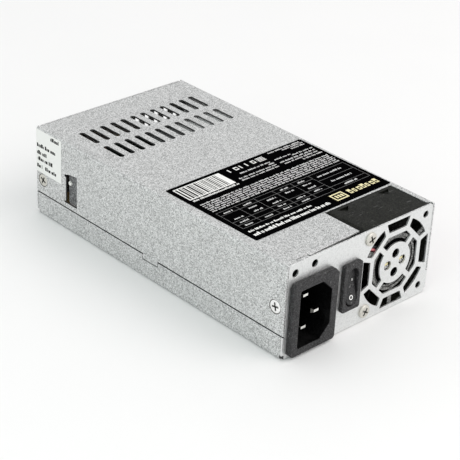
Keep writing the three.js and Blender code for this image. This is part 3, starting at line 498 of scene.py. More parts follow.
MATERIALS = {
    "steel": galvanised(0.66, 0.68, 0.46, 0.34),
    # Copy of the steel with less speckle and a lighter tone for the rear face; the lighter tone is painted
    # light.
    "rear_panel_painted_light": galvanised(0.77, 0.13, 0.4, 0.5),
    # Near-white copy of the steel: painted highlight on edges that catch the light.
    "edge_painted_highlight_steel": metal(grey(0.95), 0.6, 0.2, 0.1),
    # Near-black copy of the steel: painted shade in the gaps at cut edges and the seam.
    "edge_painted_shade_steel": metal((0.1, 0.1, 0.102), 0.5, 0.7),
    "screw_metal": metal((0.97, 0.97, 0.96), 0.34),
    # Dark copy of the metal: painted shade in screw recesses and the dimples round the cover's screws.
    "recess_painted_shade": metal((0.11, 0.105, 0.095), 0.5, 0.8),
    "zinc": metal((0.66, 0.645, 0.595), 0.5, 0.85),
    # Near-black nickel: painted shade on the inlet pins' sides.
    "pin_side_painted_shade": metal((0.12, 0.118, 0.11), 0.16),
    "brass": metal((0.66, 0.47, 0.18), 0.32),
    "nickel": metal((0.84, 0.83, 0.8), 0.24),
    # Near-white shelf: painted light, with painted shade at its low-X end.
    "shelf_painted_light_shade": painted_light_shade_shelf(),
    "aluminium": metal((0.62, 0.63, 0.64), 0.36),
    "black_plastic": moulded((0.018, 0.0177, 0.0185), 0.5, 0.6),
    # Near-black copy of the inlet's plastic: painted shade inside the socket.
    "socket_painted_shade": moulded((0.002, 0.002, 0.0021), 0.6, gloss=0.04, dust=0),
    "rocker_plastic": moulded((0.014, 0.014, 0.0145), 0.42, 0.7),
    "fan_plastic": moulded((0.0052, 0.0055, 0.0042), 0.46, 0.8, gloss=0.1, dust=0.06, scuffs=0.6),
    # Grey copy of the fan's black plastic: painted light on the frame's front faces.
    "fan_face_painted_light": moulded((0.095, 0.096, 0.093), 0.4, 0.8, dust=0.06),
    "white_plastic": moulded((0.72, 0.71, 0.67), 0.42, 0.6, 0.01, dust=0),
    "sheet_plastic": moulded((0.085, 0.086, 0.088), 0.4, 0.8, 0.01, dust=0),
    "circuit_board": laminate((0.24, 0.17, 0.06)),
    "dark_board": laminate((0.008, 0.016, 0.01)),
    "ferrite": moulded((0.03, 0.029, 0.031), 0.62, 0.5, 0.04),
    "tape": wound((0.62, 0.42, 0.07), (0.36, 0.22, 0.03), 1.1),
    "copper": wound((0.26, 0.1, 0.045), (0.08, 0.03, 0.012), 0.9),
    "toroid": moulded((0.5, 0.44, 0.1), 0.5, 0.6, 0.03, dust=0),
    "sleeve": paper((0.02, 0.045, 0.09), 0.3),
    "epoxy": moulded((0.018, 0.018, 0.02), 0.5, 0.5, 0.02),
    "ceramic": moulded((0.78, 0.75, 0.66), 0.4, 0.6, 0.01, dust=0),
    "label_black": paper((0.0015, 0.0015, 0.0017), 0.6, 0.0),
    "label_white": paper((0.84, 0.84, 0.82), 0.55),
    "print_white": paper((0.86, 0.86, 0.84), 0.5),
    "print_grey": paper(grey(0.66), 0.5),
    "print_dim": paper(grey(0.2), 0.5),
    "print_gold": paper((0.86, 0.78, 0.46), 0.45),
    "print_black": paper(grey(0.003), 0.5, 0.02),
    "wire_red": insulation((0.55, 0.17, 0.19)),
    "wire_black": insulation((0.012, 0.012, 0.013)),
    "wire_blue": insulation((0.02, 0.1, 0.36)),
    "wire_green": insulation((0.12, 0.26, 0.03)),
}
for key, material in MATERIALS.items():
    material.name = key.replace("_", " ")


# ---- case ----

def across(side, outer, inner):
    """Low and high X of a strip between two distances from the middle, on one side."""
    return sorted((side * outer, side * inner))


def cover():
    top, flat = HEIGHT - SHEET, HALF_W - BEND
    edge, fold = SEAM_Z - TOUCH + SEAM_GAP, BEND - SHEET
    channel = outline(
        (-HALF_W, edge), (-INSIDE, edge), (-INSIDE, top, fold), (INSIDE, top, fold),
        (INSIDE, edge), (HALF_W, edge), (HALF_W, HEIGHT, BEND), (-HALF_W, HEIGHT, BEND))
    tongues = [
        block(*across(side, HALF_W, INSIDE), TONGUE["near"], TONGUE["far"], TONGUE["low"] + 0.6, edge + 1)
        for side in (-1, 1)]
    made = join(prism("y", channel, REAR, FAR), *tongues)
    close, tight, wide = (REAR + SHEET + gap for gap in (0.12, 0.45, 1.6))
    lug_gap = 0.6
    left, right, depth = WINDOW["left"], WINDOW["right"], REAR + WINDOW["depth"]
    openings = [
        outline((-flat, REAR - 1), (flat, REAR - 1), (flat, tight), (right, wide), (left, wide),
                (TAB["right"] + 2.5, tight), (TAB["right"], tight), (TAB["left"], close), (-flat, close)),
        rectangle(-flat, flat, FAR - SHEET - 0.3, FAR + 1),
        rectangle(TAB["left"] - lug_gap / 2, TAB["right"] + lug_gap, REAR - 1,
                  REAR + TAB["depth"] + lug_gap / 2),
        outline((left, REAR - 1), (right, REAR - 1), (right, depth, 0.4), (left, depth, 0.4)),
    ]
    for row in SLOTS["rows"]:
        for i in range(SLOTS["count"]):
            openings.append(centred(SLOTS["first"] + SLOTS["pitch"] * i, row, SLOTS["width"], SLOTS["length"],
                                    SLOTS["width"] / 2 - 0.01))
    cuts = [prism("z", points, top - 1, HEIGHT + 1) for points in openings]
    cuts.append(prism("x", side_window(), -HALF_W - 1, -INSIDE + 1))
    dimple = [(0, -2), (1.95, -2), (1.95, -SHEET), (2.95, 0), (2.95, 1), (0, 1)]
    for _, spot in COVER_SCREWS:
        side = math.copysign(1, spot.x)
        profile = [(radius, side * along) for radius, along in dimple]
        cuts.append(lathe("x", profile, (side * HALF_W, spot.y, spot.z)))
    return cut(made, *cuts)


def side_window():
    """Window with a small relief notch at each of its far corners, in (Y, Z)."""
    near, far = SIDE_WINDOW["near"], SIDE_WINDOW["far"]
    low, high = SIDE_WINDOW["low"], SIDE_WINDOW["high"]
    notch = 0.9
    return outline(
        (near, low), (far + notch, low), (far + notch, low + notch), (far, low + notch),
        (far, high - 1.6 - notch), (far + notch, high - 1.6 - notch), (far + notch, high - 1.6),
        (far - 2.4, high - 0.6, 0.6), (near, high, 0.4))


def panel(low_y, high_y):
    points = outline(
        (-HALF_W, 0), (HALF_W, 0), (HALF_W, SEAM_Z - TOUCH), (PANEL_HALF, SEAM_Z - TOUCH),
        (PANEL_HALF, HEIGHT - TOUCH, 1.8), (-PANEL_HALF, HEIGHT - TOUCH, 1.8),
        (-PANEL_HALF, SEAM_Z - TOUCH), (-HALF_W, SEAM_Z - TOUCH))
    return prism("y", points, low_y, high_y)


def tray():
    fold, edge, flange = BEND - SHEET, SEAM_Z - TOUCH, SHEET + LOOSE
    channel = outline(
        (-HALF_W, edge), (-HALF_W, 0, BEND), (HALF_W, 0, BEND), (HALF_W, edge),
        (INSIDE, edge), (INSIDE, SHEET, fold), (-INSIDE, SHEET, fold), (-INSIDE, edge))
    outer, inner = PANEL_HALF, PANEL_HALF - SHEET
    parts = [
        block(-INSIDE, INSIDE, REAR + SHEET / 2, FAR - SHEET / 2, 0, SHEET),
        panel(REAR, REAR + SHEET),
        panel(FAR - SHEET, FAR),
        block(TAB["left"], TAB["right"], REAR, REAR + TAB["depth"], HEIGHT - SHEET, HEIGHT - TOUCH),
        block(-outer, -inner, REAR + TOUCH, REAR + 11, 16, 27),
        block(-outer, -inner, FAR - 11, FAR - TOUCH, 11.5, 22),
        block(inner, outer, FAR - 11, FAR - TOUCH, 11.5, 22),
        block(inner, outer, REAR + 25, REAR + 35, 0.4, 26),
    ]
    top = span("main_board")[0].z - TOUCH
    bosses = [middle(f"board_screw_{i}") for i in range(1, 5)]
    raised = [(0, SHEET / 2), (4.2, SHEET / 2), (4.2, SHEET), (3.2, SHEET + 1.2), (3.2, top), (0, top)]
    parts += [lathe("z", raised, (spot.x, spot.y, 0)) for spot in bosses]
    made = join(prism("y", channel, REAR + flange, FAR - flange), *parts)

    drawn = [(0, -1), (4.5, -0.2), (3.9, 0), (3.45, 0.15), (3.05, 0.5), (2.8, 0.95), (2.65, 1.7),
             (2.65, top - SHEET), (1.65, top - SHEET), (1.65, top + 1), (0, top + 1)]
    cuts = [lathe("z", drawn, (spot.x, spot.y, 0)) for spot in bosses]
    for _, spot in COVER_SCREWS:
        cuts.append(rod("x", 1.7, -3, 3, (math.copysign(HALF_W - 1, spot.x), spot.y, spot.z)))
    earth = middle("earth_screw")
    cuts.append(rod("z", 1.75, -1, 2, (earth.x, earth.y, 0)))
    for side in (-1, 1):
        corner = across(side, HALF_W + 1, HALF_W - BEND - 0.05)
        cuts.append(block(*corner, REAR - 1, REAR + 1.2, -1, 1.8))
        cuts.append(block(*corner, FAR - 1.2, FAR + 1, -1, 1.8))
        cuts.append(block(*across(side, HALF_W + 1, INSIDE - 0.1), TONGUE["near"] - 0.2, TONGUE["far"] + 0.2,
                          TONGUE["low"] - 0.2, SEAM_Z + 1))
    return cut(made, *cuts, *rear_panel_cuts(), *far_panel_cuts())


def rear_panel_cuts():
    y0, y1 = REAR - 1, REAR + SHEET + 0.6
    cuts = grille_cuts(y0, y1)
    half = FAN_PITCH / 2
    for x, radius in ((FAN_X - half, 1.9), (FAN_X + half, 1.5)):
        cuts += [rod("y", radius, y0, y1, (x, 0, z)) for z in (FAN_Z - half, FAN_Z + half)]
    cuts += [rod("y", 1.6, y0, y1, (x, 0, z)) for x, z in PANEL_HOLES]
    inlet_spot, switch_spot = middle("inlet_body"), middle("switch_body")
    cuts.append(prism("y", centred(inlet_spot.x + 0.15, inlet_spot.z, 20.7, 28.7, 1), y0, y1))
    cuts.append(prism("y", centred(switch_spot.x, switch_spot.z, 8.5, 18.8, 0.6), y0, y1))
    return cuts


def grille_cuts(y0, y1):
    """Stamped openings: four windows round the hub, four straight and four round slots, four holes."""
    def disc(radius):
        return rod("y", radius, y0, y1, FAN_AXIS, 96)

    def octagon(apothem):
        return prism("y", polygon(FAN_X, FAN_Z, apothem, 8), y0, y1)

    wide, reach = 13.6, 2 * GRILLE["reach"]
    inner = cut(octagon(GRILLE["inner"]), disc(GRILLE["hub"]),
                *[radial_bar(45 + 90 * i, 0, 20, 2.2, y0 - 1, y1 + 1) for i in range(4)])
    outer = join(prism("y", centred(FAN_X, FAN_Z, reach, wide), y0, y1),
                 prism("y", centred(FAN_X, FAN_Z, wide, reach), y0, y1), disc(GRILLE["reach"]))
    outer = cut(outer, octagon(GRILLE["outer"]),
                *[radial_bar(22.5 + 45 * i, 10, 24, 2, y0 - 1, y1 + 1) for i in range(8)])
    for made in (inner, outer):
        round_stamped(made)
    holes = []
    for i in range(4):
        turn = math.pi / 2 * i
        spot = (FAN_X + GRILLE["hole_at"] * math.cos(turn), 0, FAN_Z + GRILLE["hole_at"] * math.sin(turn))
        holes.append(rod("y", GRILLE["hole"], y0, y1, spot))
    return [inner, outer, *holes]


def round_stamped(made, radius=0.4):
    """Rounds a punch's corners, which are its edges along Y."""
    with editing(made.data) as shape:
        merge_faces(shape)
        corners = []
        for edge in shape.edges:
            run = edge.verts[1].co - edge.verts[0].co
            if abs(run.y) > 0.9 * run.length and edge.calc_face_angle(0) > math.radians(25):
                corners.append(edge)
        bmesh.ops.bevel(shape, geom=corners, offset=radius, segments=4, profile=0.5, affect="EDGES")


def far_panel_cuts():
    outlet = centred(OUTLET["x"], OUTLET["z"], OUTLET["width"], OUTLET["height"], OUTLET["corner"])
    cuts = [prism("y", outlet, FAR - 2, FAR + 1)]
    half, last = SLOTS["width"] / 2, END_SLOTS["count"] - 1
    for i in range(END_SLOTS["count"]):
        x = END_SLOTS["first"] + SLOTS["pitch"] * i
        low, high = END_SLOTS["low" if i else "first_low"], END_SLOTS["high" if i < last else "last_high"]
        cuts.append(prism("y", rectangle(x - half, x + half, low, high, half - 0.01), FAR - 2, FAR + 1))
    return cuts


def cross_recess(radius, depth, arm):
    """Phillips recess about the origin, opening along +Z and narrowing to its floor."""
    cuts = []
    floor, mouth = radius * 0.45, radius
    for i in range(2):
        points = [(-mouth, 0.5), (-mouth, 0), (-floor, -depth), (floor, -depth), (mouth, 0), (mouth, 0.5)]
        bar = prism("y", points, -arm / 2, arm / 2)
        cuts.append(moved(bar, Matrix.Rotation(math.pi / 2 * i, 4, "Z")))
    pit = [(0, -depth * 1.15), (arm * 0.75, -depth * 0.6), (arm * 0.95, 0.5), (0, 0.5)]
    cuts.append(lathe("z", pit, (0, 0, 0), 16))
    return cuts


def screw(head, sunk, recess, direction, spot, turn):
    """Screw with its axis turned from +Z to a direction; the head's profile is (radius, distance along)."""
    tools = [moved(tool, Matrix.Translation((0, 0, sunk))) for tool in cross_recess(*recess)]
    made = cut(lathe("z", head, (0, 0, 0), 56), *tools)
    aim = Vector(direction).to_track_quat("Z", "Y").to_matrix().to_4x4()
    return moved(made, Matrix.Translation(spot) @ aim @ Matrix.Rotation(math.radians(turn), 4, "Z"))


def cut_edge_painted_shade(centre, normal):
    """Cut edges of the cover's slots, side window and seam; they get painted shade, a near-black finish for
    the shade in these gaps.
    """
    if abs(normal.z) < 0.5 and inside(centre, (2 - HALF_W, REAR + WINDOW["depth"] + 1, HEIGHT - SHEET),
                                      (HALF_W - 2, FAR + 1, HEIGHT + 1)):
        return True
    if abs(centre.x) <= INSIDE or abs(normal.x) >= 0.5:
        return False
    in_window = inside(centre, (-HALF_W - 1, SIDE_WINDOW["near"] - 1, SIDE_WINDOW["low"] - 1),
                       (0, SIDE_WINDOW["far"] + 2, SIDE_WINDOW["high"] + 1))
    return in_window or centre.z < SEAM_Z + 1 and not TONGUE["near"] < centre.y < TONGUE["far"]


def in_dimple(centre, normal):
    """Slopes round the cover's screws, which get painted shade."""
    near = any(math.hypot(centre.y - spot.y, centre.z - spot.z) < 2.9 and centre.x * spot.x > 0
               for _, spot in COVER_SCREWS)
    return near and abs(centre.x) < HALF_W - 0.03


def seam_edge(centre, normal):
    """Tray edges that lie in shade: the upper edge under the cover and the relief at each lower corner."""
    level = normal.z > 0.5 and centre.z > SEAM_Z - 0.5 and abs(centre.x) > INSIDE
    relief = centre.z < 1.85 and abs(centre.x) > HALF_W - BEND - 0.1 and abs(centre.y) > FAR - 1.25
    return level or relief


def rear_face(centre, normal):
    return centre.z > 0.1 and centre.y < REAR + SHEET + 0.05


def painted_highlight_faces(centre, normal):
    """The lug folded over the rear panel and the tray's edge under each tongue of the cover, which get a
    painted highlight: a near-white finish for the light these edges catch.
    """
    lug = normal.z > 0.4 and inside(centre, (TAB["left"] - 0.1, REAR - 1, HEIGHT - SHEET - 0.1),
                                    (TAB["right"] + 0.1, REAR + TAB["depth"] + 0.05, HEIGHT))
    rest = normal.z > 0.5 and abs(centre.x) > INSIDE - 0.2 and TONGUE["low"] - 0.4 < centre.z < SEAM_Z - 1
    return lug or rest


def in_recess(spot, axis):
    """Test for the faces of a screw's recess: near its axis and turned away from it. These get painted shade.
    """
    def chosen(centre, normal):
        away = centre - spot
        setattr(away, axis, 0)
        return away.length < 1.95 and abs(getattr(normal, axis)) < 0.97
    return chosen


def build_case():
    shell = piece("top_cover_shell", cover(), "steel", ["top_cover"], rounds=0.12)
    # The cover's cut edges get painted shade.
    refinish(shell, "edge_painted_shade_steel", cut_edge_painted_shade)
    # The dimples round the cover's screws get painted shade.
    refinish(shell, "recess_painted_shade", in_dimple)
    shell = piece("bottom_tray_shell", tray(), "steel", ["bottom_tray"], rounds=0.12)
    with editing(shell.data) as shape:
        merge_faces(shape)
    # The rear face gets a lighter tone, which is painted light.
    refinish(shell, "rear_panel_painted_light", rear_face)
    # The tray's seam edges and corner reliefs get painted shade.
    refinish(shell, "edge_painted_shade_steel", seam_edge)
    # The lug and the edges under the tongues get a painted highlight.
    refinish(shell, "edge_painted_highlight_steel", painted_highlight_faces)
    head = [(0, -3.4), (1.1, -3.4), (1.45, -3), (1.45, -0.95), (2.68, -0.2), (2.6, -0.1), (1.6, -0.05),
            (0, -0.04)]
    for (node, spot), turn in zip(COVER_SCREWS, (12, 63, 35, 80)):
        side = math.copysign(1, spot.x)
        made = screw(head, -0.06, (1.7, 0.9, 0.75), (side, 0, 0), (side * HALF_W, spot.y, spot.z), turn)
        plating = "screw_metal" if spot.y < 0 else "zinc"
        piece(node + "_head", made, "screw_metal", [node], plating, rounds=0.05)
        # The screw's recess gets painted shade.
        refinish(made, "recess_painted_shade", in_recess(spot, "x"))


# ---- fan ----

def fan_frame():
    low, high = span("fan_frame")
    square = rectangle(low.x, high.x, FAN_Z - FAN_HALF, FAN_Z + FAN_HALF, 2.5)
    flare = [
        (0, FAN_FRONT - 1), (19.3, FAN_FRONT - 1), (19.3, FAN_FRONT + 0.3), (FAN_BORE, FAN_FRONT + 1.6),
        (FAN_BORE, FAN_BACK - 2.4), (19.3, FAN_BACK - 0.4), (19.3, FAN_BACK + 1), (0, FAN_BACK + 1)]
    made = cut(prism("y", square, FAN_FRONT, FAN_BACK), lathe("y", flare, FAN_AXIS, 96))
    front, back = FAN_FRONT + 0.1, FAN_FRONT + 1.55
    made = join(
        made, rod("y", 12.2, front, back, FAN_AXIS, 72), rod("y", 3.2, back - 0.5, FAN_FRONT + 14, FAN_AXIS),
        *[radial_bar(angle, 8, 19.4, 2.2, front, back + 0.2) for angle in STRUTS])
    cuts = [rod("y", 11, front - 1, FAN_FRONT + 0.55, FAN_AXIS, 72),
            rod("y", 2.4, back + 0.2, FAN_FRONT + 15, FAN_AXIS)]
    half = FAN_PITCH / 2
    for x in (FAN_X - half, FAN_X + half):
        for z in (FAN_Z - half, FAN_Z + half):
            cuts.append(rod("y", 2, FAN_FRONT - 1, FAN_BACK + 1, (x, 0, z), 32))
    cuts += [frame_pocket(quarter, side) for quarter in range(4) for side in (-1, 1)]
    cuts.append(block(FAN_X - 21, FAN_X - 13.5, FAN_FRONT - 1, FAN_FRONT + 2.2, 29.9, 33.5))
    cuts.append(block(WINDOW["right"] - 0.3, FAN_X + 21, FAN_FRONT - 1, FAN_BACK + 1,
                      HEIGHT - SHEET - LOOSE, HEIGHT + 1))
    return cut(made, *cuts)


def frame_pocket(quarter, side):
    """Small moulded pocket in a side of the frame, next to a corner post."""
    depth = FAN_HALF + 0.1 * (quarter % 2)
    y = FAN_FRONT + 17
    points = outline((side * 8.5, y + 1.4), (side * 11.6, y - 1.6), (side * 14.6, y + 1.4))
    return round_fan(prism("z", points, depth - 1, depth + 1), math.pi / 2 * quarter)


def rotor():
    low, high = span("fan_rotor")
    mouth, end = low.y, high.y
    outer, inner, cap = 11.3, 10.65, 1.1
    hub = [(0, end), (outer - 1.2, end), (outer - 0.35, end - 0.35), (outer, end - 1.2), (outer, mouth),
           (inner, mouth), (inner, end - cap), (0, end - cap)]
    blades = [round_fan(blade(mouth + 1, end - 1), 2 * math.pi * i / BLADES) for i in range(BLADES)]
    return join(lathe("y", hub, FAN_AXIS, 72), *blades)


def blade(low, high):
    """Thin cambered blade standing along +X, steeper at the hub than at its tip."""
    root, tip, chord, thick = 11, 18.15, 5.3, 0.75
    steps, sections = 10, 8
    vertices, faces = [], []
    for section in range(sections + 1):
        share = section / sections
        radius = root + (tip - root) * share
        for step in range(steps + 1):
            along = step / steps
            camber = math.sin(math.pi * along)
            z = chord * (1 - 0.12 * (1 - share)) * (2 * along - 1) + 1.2 * camber
            y = low + (high - low) * along - 1.6 * camber
            slim = thick * (0.35 + 0.65 * math.sin(math.pi * min(1, 0.15 + 0.8 * along)))
            x = math.sqrt(radius * radius - z * z)
            vertices += [(x, y - slim / 2, z), (x, y + slim / 2, z)]
    count = 2 * (steps + 1)
    for a in range(0, sections * count, count):
        b = a + count
        for i in range(0, 2 * steps, 2):
            faces += [(a + i, a + i + 2, b + i + 2, b + i), (a + i + 1, b + i + 1, b + i + 3, a + i + 3)]
        faces += [(a + i, b + i, b + i + 1, a + i + 1) for i in (0, 2 * steps)]
    for base in (0, sections * count):
        faces += [(a, a + 1, a + 3, a + 2) for a in range(base, base + 2 * steps, 2)]
    return solid(vertices, faces)


def build_fan():
    made = piece("fan_housing", fan_frame(), "fan_plastic", ["fan_frame"])
    # The frame's front faces get painted light: a lighter grey than the rest of the frame.
    refinish(made, "fan_face_painted_light", lambda centre, normal: normal.y < -0.7 and centre.y < FAN_FRONT + 2)
    piece("fan_impeller", rotor(), "fan_plastic", ["fan_rotor"], body="impeller", rounds=0.12)
    low, high = span("fan_hub_label")
    sticker = rod("y", (high.x - low.x) / 2 - 0.8, low.y, high.y, FAN_AXIS, 72)
    piece("fan_hub_sticker", sticker, "label_black", ["fan_hub_label"], rounds=0.03)
    sticker_print(low.y)
    half = FAN_PITCH / 2
    head = [(0, -9), (1.2, -9), (1.7, -8.4), (1.7, 0), (2.8, 0), (2.85, 0.2), (2.78, 0.55), (2.55, 0.8),
            (2.1, 0.96), (1.1, 1.04), (0, 1.05)]
    for i, turn, z in ((1, 20, FAN_Z + half), (2, 58, FAN_Z - half)):
        made = screw(head, 1, (1.75, 1.15, 0.7), (0, -1, 0), (FAN_X - half, REAR - 0.02, z), turn)
        piece(f"fan_screw_{i}_head", made, "screw_metal", [f"fan_screw_{i}"], "zinc", rounds=0.05)
        # The screw's recess gets painted shade.
        refinish(made, "recess_painted_shade", in_recess(Vector((FAN_X - half, 0, z)), "y"))


def sticker_print(front):
    """Generic marks on the motor's sticker: a bar and short rows of blocks on each side of its middle."""
    y0, y1 = front - 0.03, front + 0.02
    white, gold = [], []
    for side in (-1, 1):
        x = FAN_X + side * 4.3
        gold.append(block(x - 1.5, x + 1.5, y0, y1, FAN_Z - 0.45, FAN_Z + 0.55))
        for row, z in enumerate((-1.8, -1.1, 0.75, 1.4)):
            for i in range(4):
                left = x - 1.9 + 0.98 * i + 0.1 * (row % 2)
                width = 0.6 + 0.1 * ((i * 7 + row) % 3)
                white.append(block(left, left + width, y0, y1, FAN_Z + z, FAN_Z + z + 0.5))
    for finish, blocks in (("print_white", white), ("print_gold", gold)):
        piece("fan_sticker_" + finish, gathered(blocks), "label_white", finish=finish, rounds=0)


# ---- inlet and switch ----

def inlet():
    left, low, right, high = INLET_LOW.x, INLET_LOW.z, INLET_HIGH.x, INLET_HIGH.z
    x, z = (left + right) / 2, (low + high) / 2
    front = INLET_LOW.y
    flange = outline((left, low, 2.2), (right, low, 1.6), (right, high - 2.2, 1), (right - 2.2, high, 1),
                     (left, high, 2.2))
    made = join(prism("y", flange, front, REAR - TOUCH),
                prism("y", centred(x + 0.15, z, 20, 28, 1), REAR - 0.5, INLET_HIGH.y))
    cuts = [prism("y", socket_outline(), front - 1, REAR + SOCKET["depth"])]
    for node in PIN_NODES:
        spot = middle(node)
        cuts.append(block(spot.x - 2.3, spot.x + 2.3, REAR + SOCKET["depth"] - 1, INLET_HIGH.y + 1,
                          spot.z - 1.3, spot.z + 1.3))
    return cut(made, *cuts)


def socket_outline():
    x, z, chamfer = SOCKET["x"], SOCKET["z"], SOCKET["chamfer"]
    left, right = x - SOCKET["width"] / 2, x + SOCKET["width"] / 2
    low, high = z - SOCKET["height"] / 2, z + SOCKET["height"] / 2
    return outline((left, low, 1), (right - chamfer, low, 0.6), (right, low + chamfer, 0.6),
                   (right, high - chamfer, 0.6), (right - chamfer, high, 0.6), (left, high, 1))


def inlet_pin(node):
    """Blade with a bevelled tip and a narrow tag that stands out behind the housing."""
    low, high = span(node)
    x, z = (low.x + high.x) / 2, (low.z + high.z) / 2
    wide, back = (high.x - low.x) / 2, INLET_HIGH.y + 0.4
    sections = ((low.y, wide - 0.75, 0.55), (low.y + 1.1, wide, 1), (back, wide, 1), (back, wide - 0.3, 0.4),
                (high.y, wide - 0.3, 0.4))
    return loft([[(u, y, v) for u, v in centred(x, z, 2 * half_x, 2 * half_z)]
                 for y, half_x, half_z in sections])


def in_socket(centre, normal):
    half_x, half_z = SOCKET["width"] / 2 + 0.1, SOCKET["height"] / 2 + 0.1
    return inside(centre, (SOCKET["x"] - half_x, INLET_LOW.y + 0.1, SOCKET["z"] - half_z),
                  (SOCKET["x"] + half_x, REAR + SOCKET["depth"] + 0.1, SOCKET["z"] + half_z))


def build_inlet():
    made = piece("inlet_housing", inlet(), "black_plastic", ["inlet_body"], rounds=0.35, segments=3)
    # The inside of the socket gets painted shade.
    refinish(made, "socket_painted_shade", in_socket)
    for node in PIN_NODES:
        # Pin sides get painted shade, a near-black nickel; only the tip faces keep plain nickel.
        made = piece(node + "_blade", inlet_pin(node), "nickel", [node], "pin_side_painted_shade", rounds=0.08)
        refinish(made, "nickel", lambda centre, normal: normal.y < -0.9)


def switch():
    x, z = (SWITCH_LOW.x + SWITCH_HIGH.x) / 2, (SWITCH_LOW.z + SWITCH_HIGH.z) / 2
    bezel = prism("y", rectangle(SWITCH_LOW.x, SWITCH_HIGH.x, SWITCH_LOW.z, SWITCH_HIGH.z, 1.2),
                  SWITCH_LOW.y, REAR - TOUCH)
    made = join(bezel, prism("y", centred(x, z, 7.9, 18.2, 0.6), REAR - 0.5, SWITCH_HIGH.y))
    opening = centred(ROCKER["x"], ROCKER["z"], ROCKER["width"], ROCKER["length"], ROCKER["width"] / 2 - 0.01)
    cuts = [prism("y", opening, SWITCH_LOW.y - 1, SWITCH_HIGH.y - 3)]
    for spot in (middle("switch_terminal_1"), middle("switch_terminal_2")):
        cuts.append(block(x - 2.2, x + 2.2, SWITCH_HIGH.y - 4, SWITCH_HIGH.y + 1, spot.z - 0.7, spot.z + 0.7))
    return cut(made, *cuts)


def rocker_face(z):
    """Depth of the rocker's dished front at a height from its middle, drawn level."""
    return -2.1 - ROCKER["dish"] * (z / ROCKER_HALF) ** 2


def tilted(made):
    spot = Matrix.Translation((ROCKER["x"], ROCKER["pivot"], ROCKER["z"]))
    return moved(made, spot @ Matrix.Rotation(-math.radians(ROCKER["tilt"]), 4, "X"))


def rocker():
    half, width = ROCKER_HALF, ROCKER["width"] - 2 * ROCKER_GAP
    steps = 18
    heights = [half * (2 * i / steps - 1) for i in range(steps + 1)]
    front = [(rocker_face(z), z) for z in heights]
    profile = [*front, (1.2, half - 0.4), (3.4, 2.6), (3.4, -2.6), (1.2, -half + 0.4)]
    plan = prism("y", centred(0, 0, width, 2 * half, width / 2 - 0.01), -6, 6)
    return tilted(combine(prism("x", profile, -width / 2, width / 2), [plan], "INTERSECT"))


def rocker_marks():
    """Off and on marks, printed on the rocker's front and leaning with it."""
    circle = lathe("y", [(0.6, -0.05), (0.98, -0.05), (0.98, 0.1), (0.6, 0.1)], (0, 0, 0), 32)
    bar = block(0.9, 1.25, -0.05, 0.1, -0.5, 0.5)
    marks = []
    for made, z in ((circle, -4.9), (bar, 2.2)):
        lean = math.atan(2 * ROCKER["dish"] * z / ROCKER_HALF ** 2)
        marks.append(moved(made, Matrix.Translation((0, rocker_face(z), z)) @ Matrix.Rotation(lean, 4, "X")))
    return tilted(gathered(marks))


def build_switch():
    piece("switch_bezel", switch(), "black_plastic", ["switch_body"], rounds=0.3, segments=3)
    piece("switch_button", rocker(), "black_plastic", ["switch_rocker"], "rocker_plastic", "rocker", 0.3, 3)
    piece("switch_marks", rocker_marks(), "label_white", (), "print_white", "rocker", 0)


# ---- labels ----

def blocks_in_row(draw, u0, u1, v, height, widest=0.9, word=6):
    """A greeked line of text: small blocks of uneven width and height with gaps between the words."""
    spots = []
    u = u0
    left_in_word = draw.randint(2, word)
    while u < u1 - 0.3:
        width = min(draw.uniform(0.35, widest), u1 - u)
        tall = height * draw.choice((0.68, 0.68, 0.72, 1.0, 0.95))
        spots.append((u, u + width, v, v + tall))
        left_in_word -= 1
        u += width + (0.22 if left_in_word else 0.75)
        if not left_in_word:
            left_in_word = draw.randint(2, word)
    return spots


def barcode(draw, u0, u1, v0, v1):
    """Bars of uneven width from u0 to u1."""
    bars = []
    u = u0
    while u < u1:
        width = draw.choice((0.34, 0.4, 0.6, 0.9))
        bars.append((u, u + width, v0, v1))
        u += width + draw.choice((0.4, 0.45, 0.75))
    return bars


def table_rules():
    """Rules of the ratings table, the upright ones cut where the level ones cross them."""
    thick, gap = 0.13, 0.02
    left, divide, right = 2.4, 53, 73.4
    full, left_only, right_only = (9.5, 12.4, 24.6), (15.3, 21.8), (18.8,)
    rules = [(left, right + thick, v, v + thick) for v in full]
    rules += [(left, divide, v, v + thick) for v in left_only]
    rules += [(divide + thick + gap, right + thick, v, v + thick) for v in right_only]
    for u in (left, 12.3, 22.3, 32.5, 42.7, divide, right):
        crossed = sorted(full + (() if u > divide else left_only) + (() if u < divide else right_only))
        for low, high in zip(crossed, crossed[1:]):
            rules.append((u, u + thick, low + thick + gap, high - gap))
    return rules


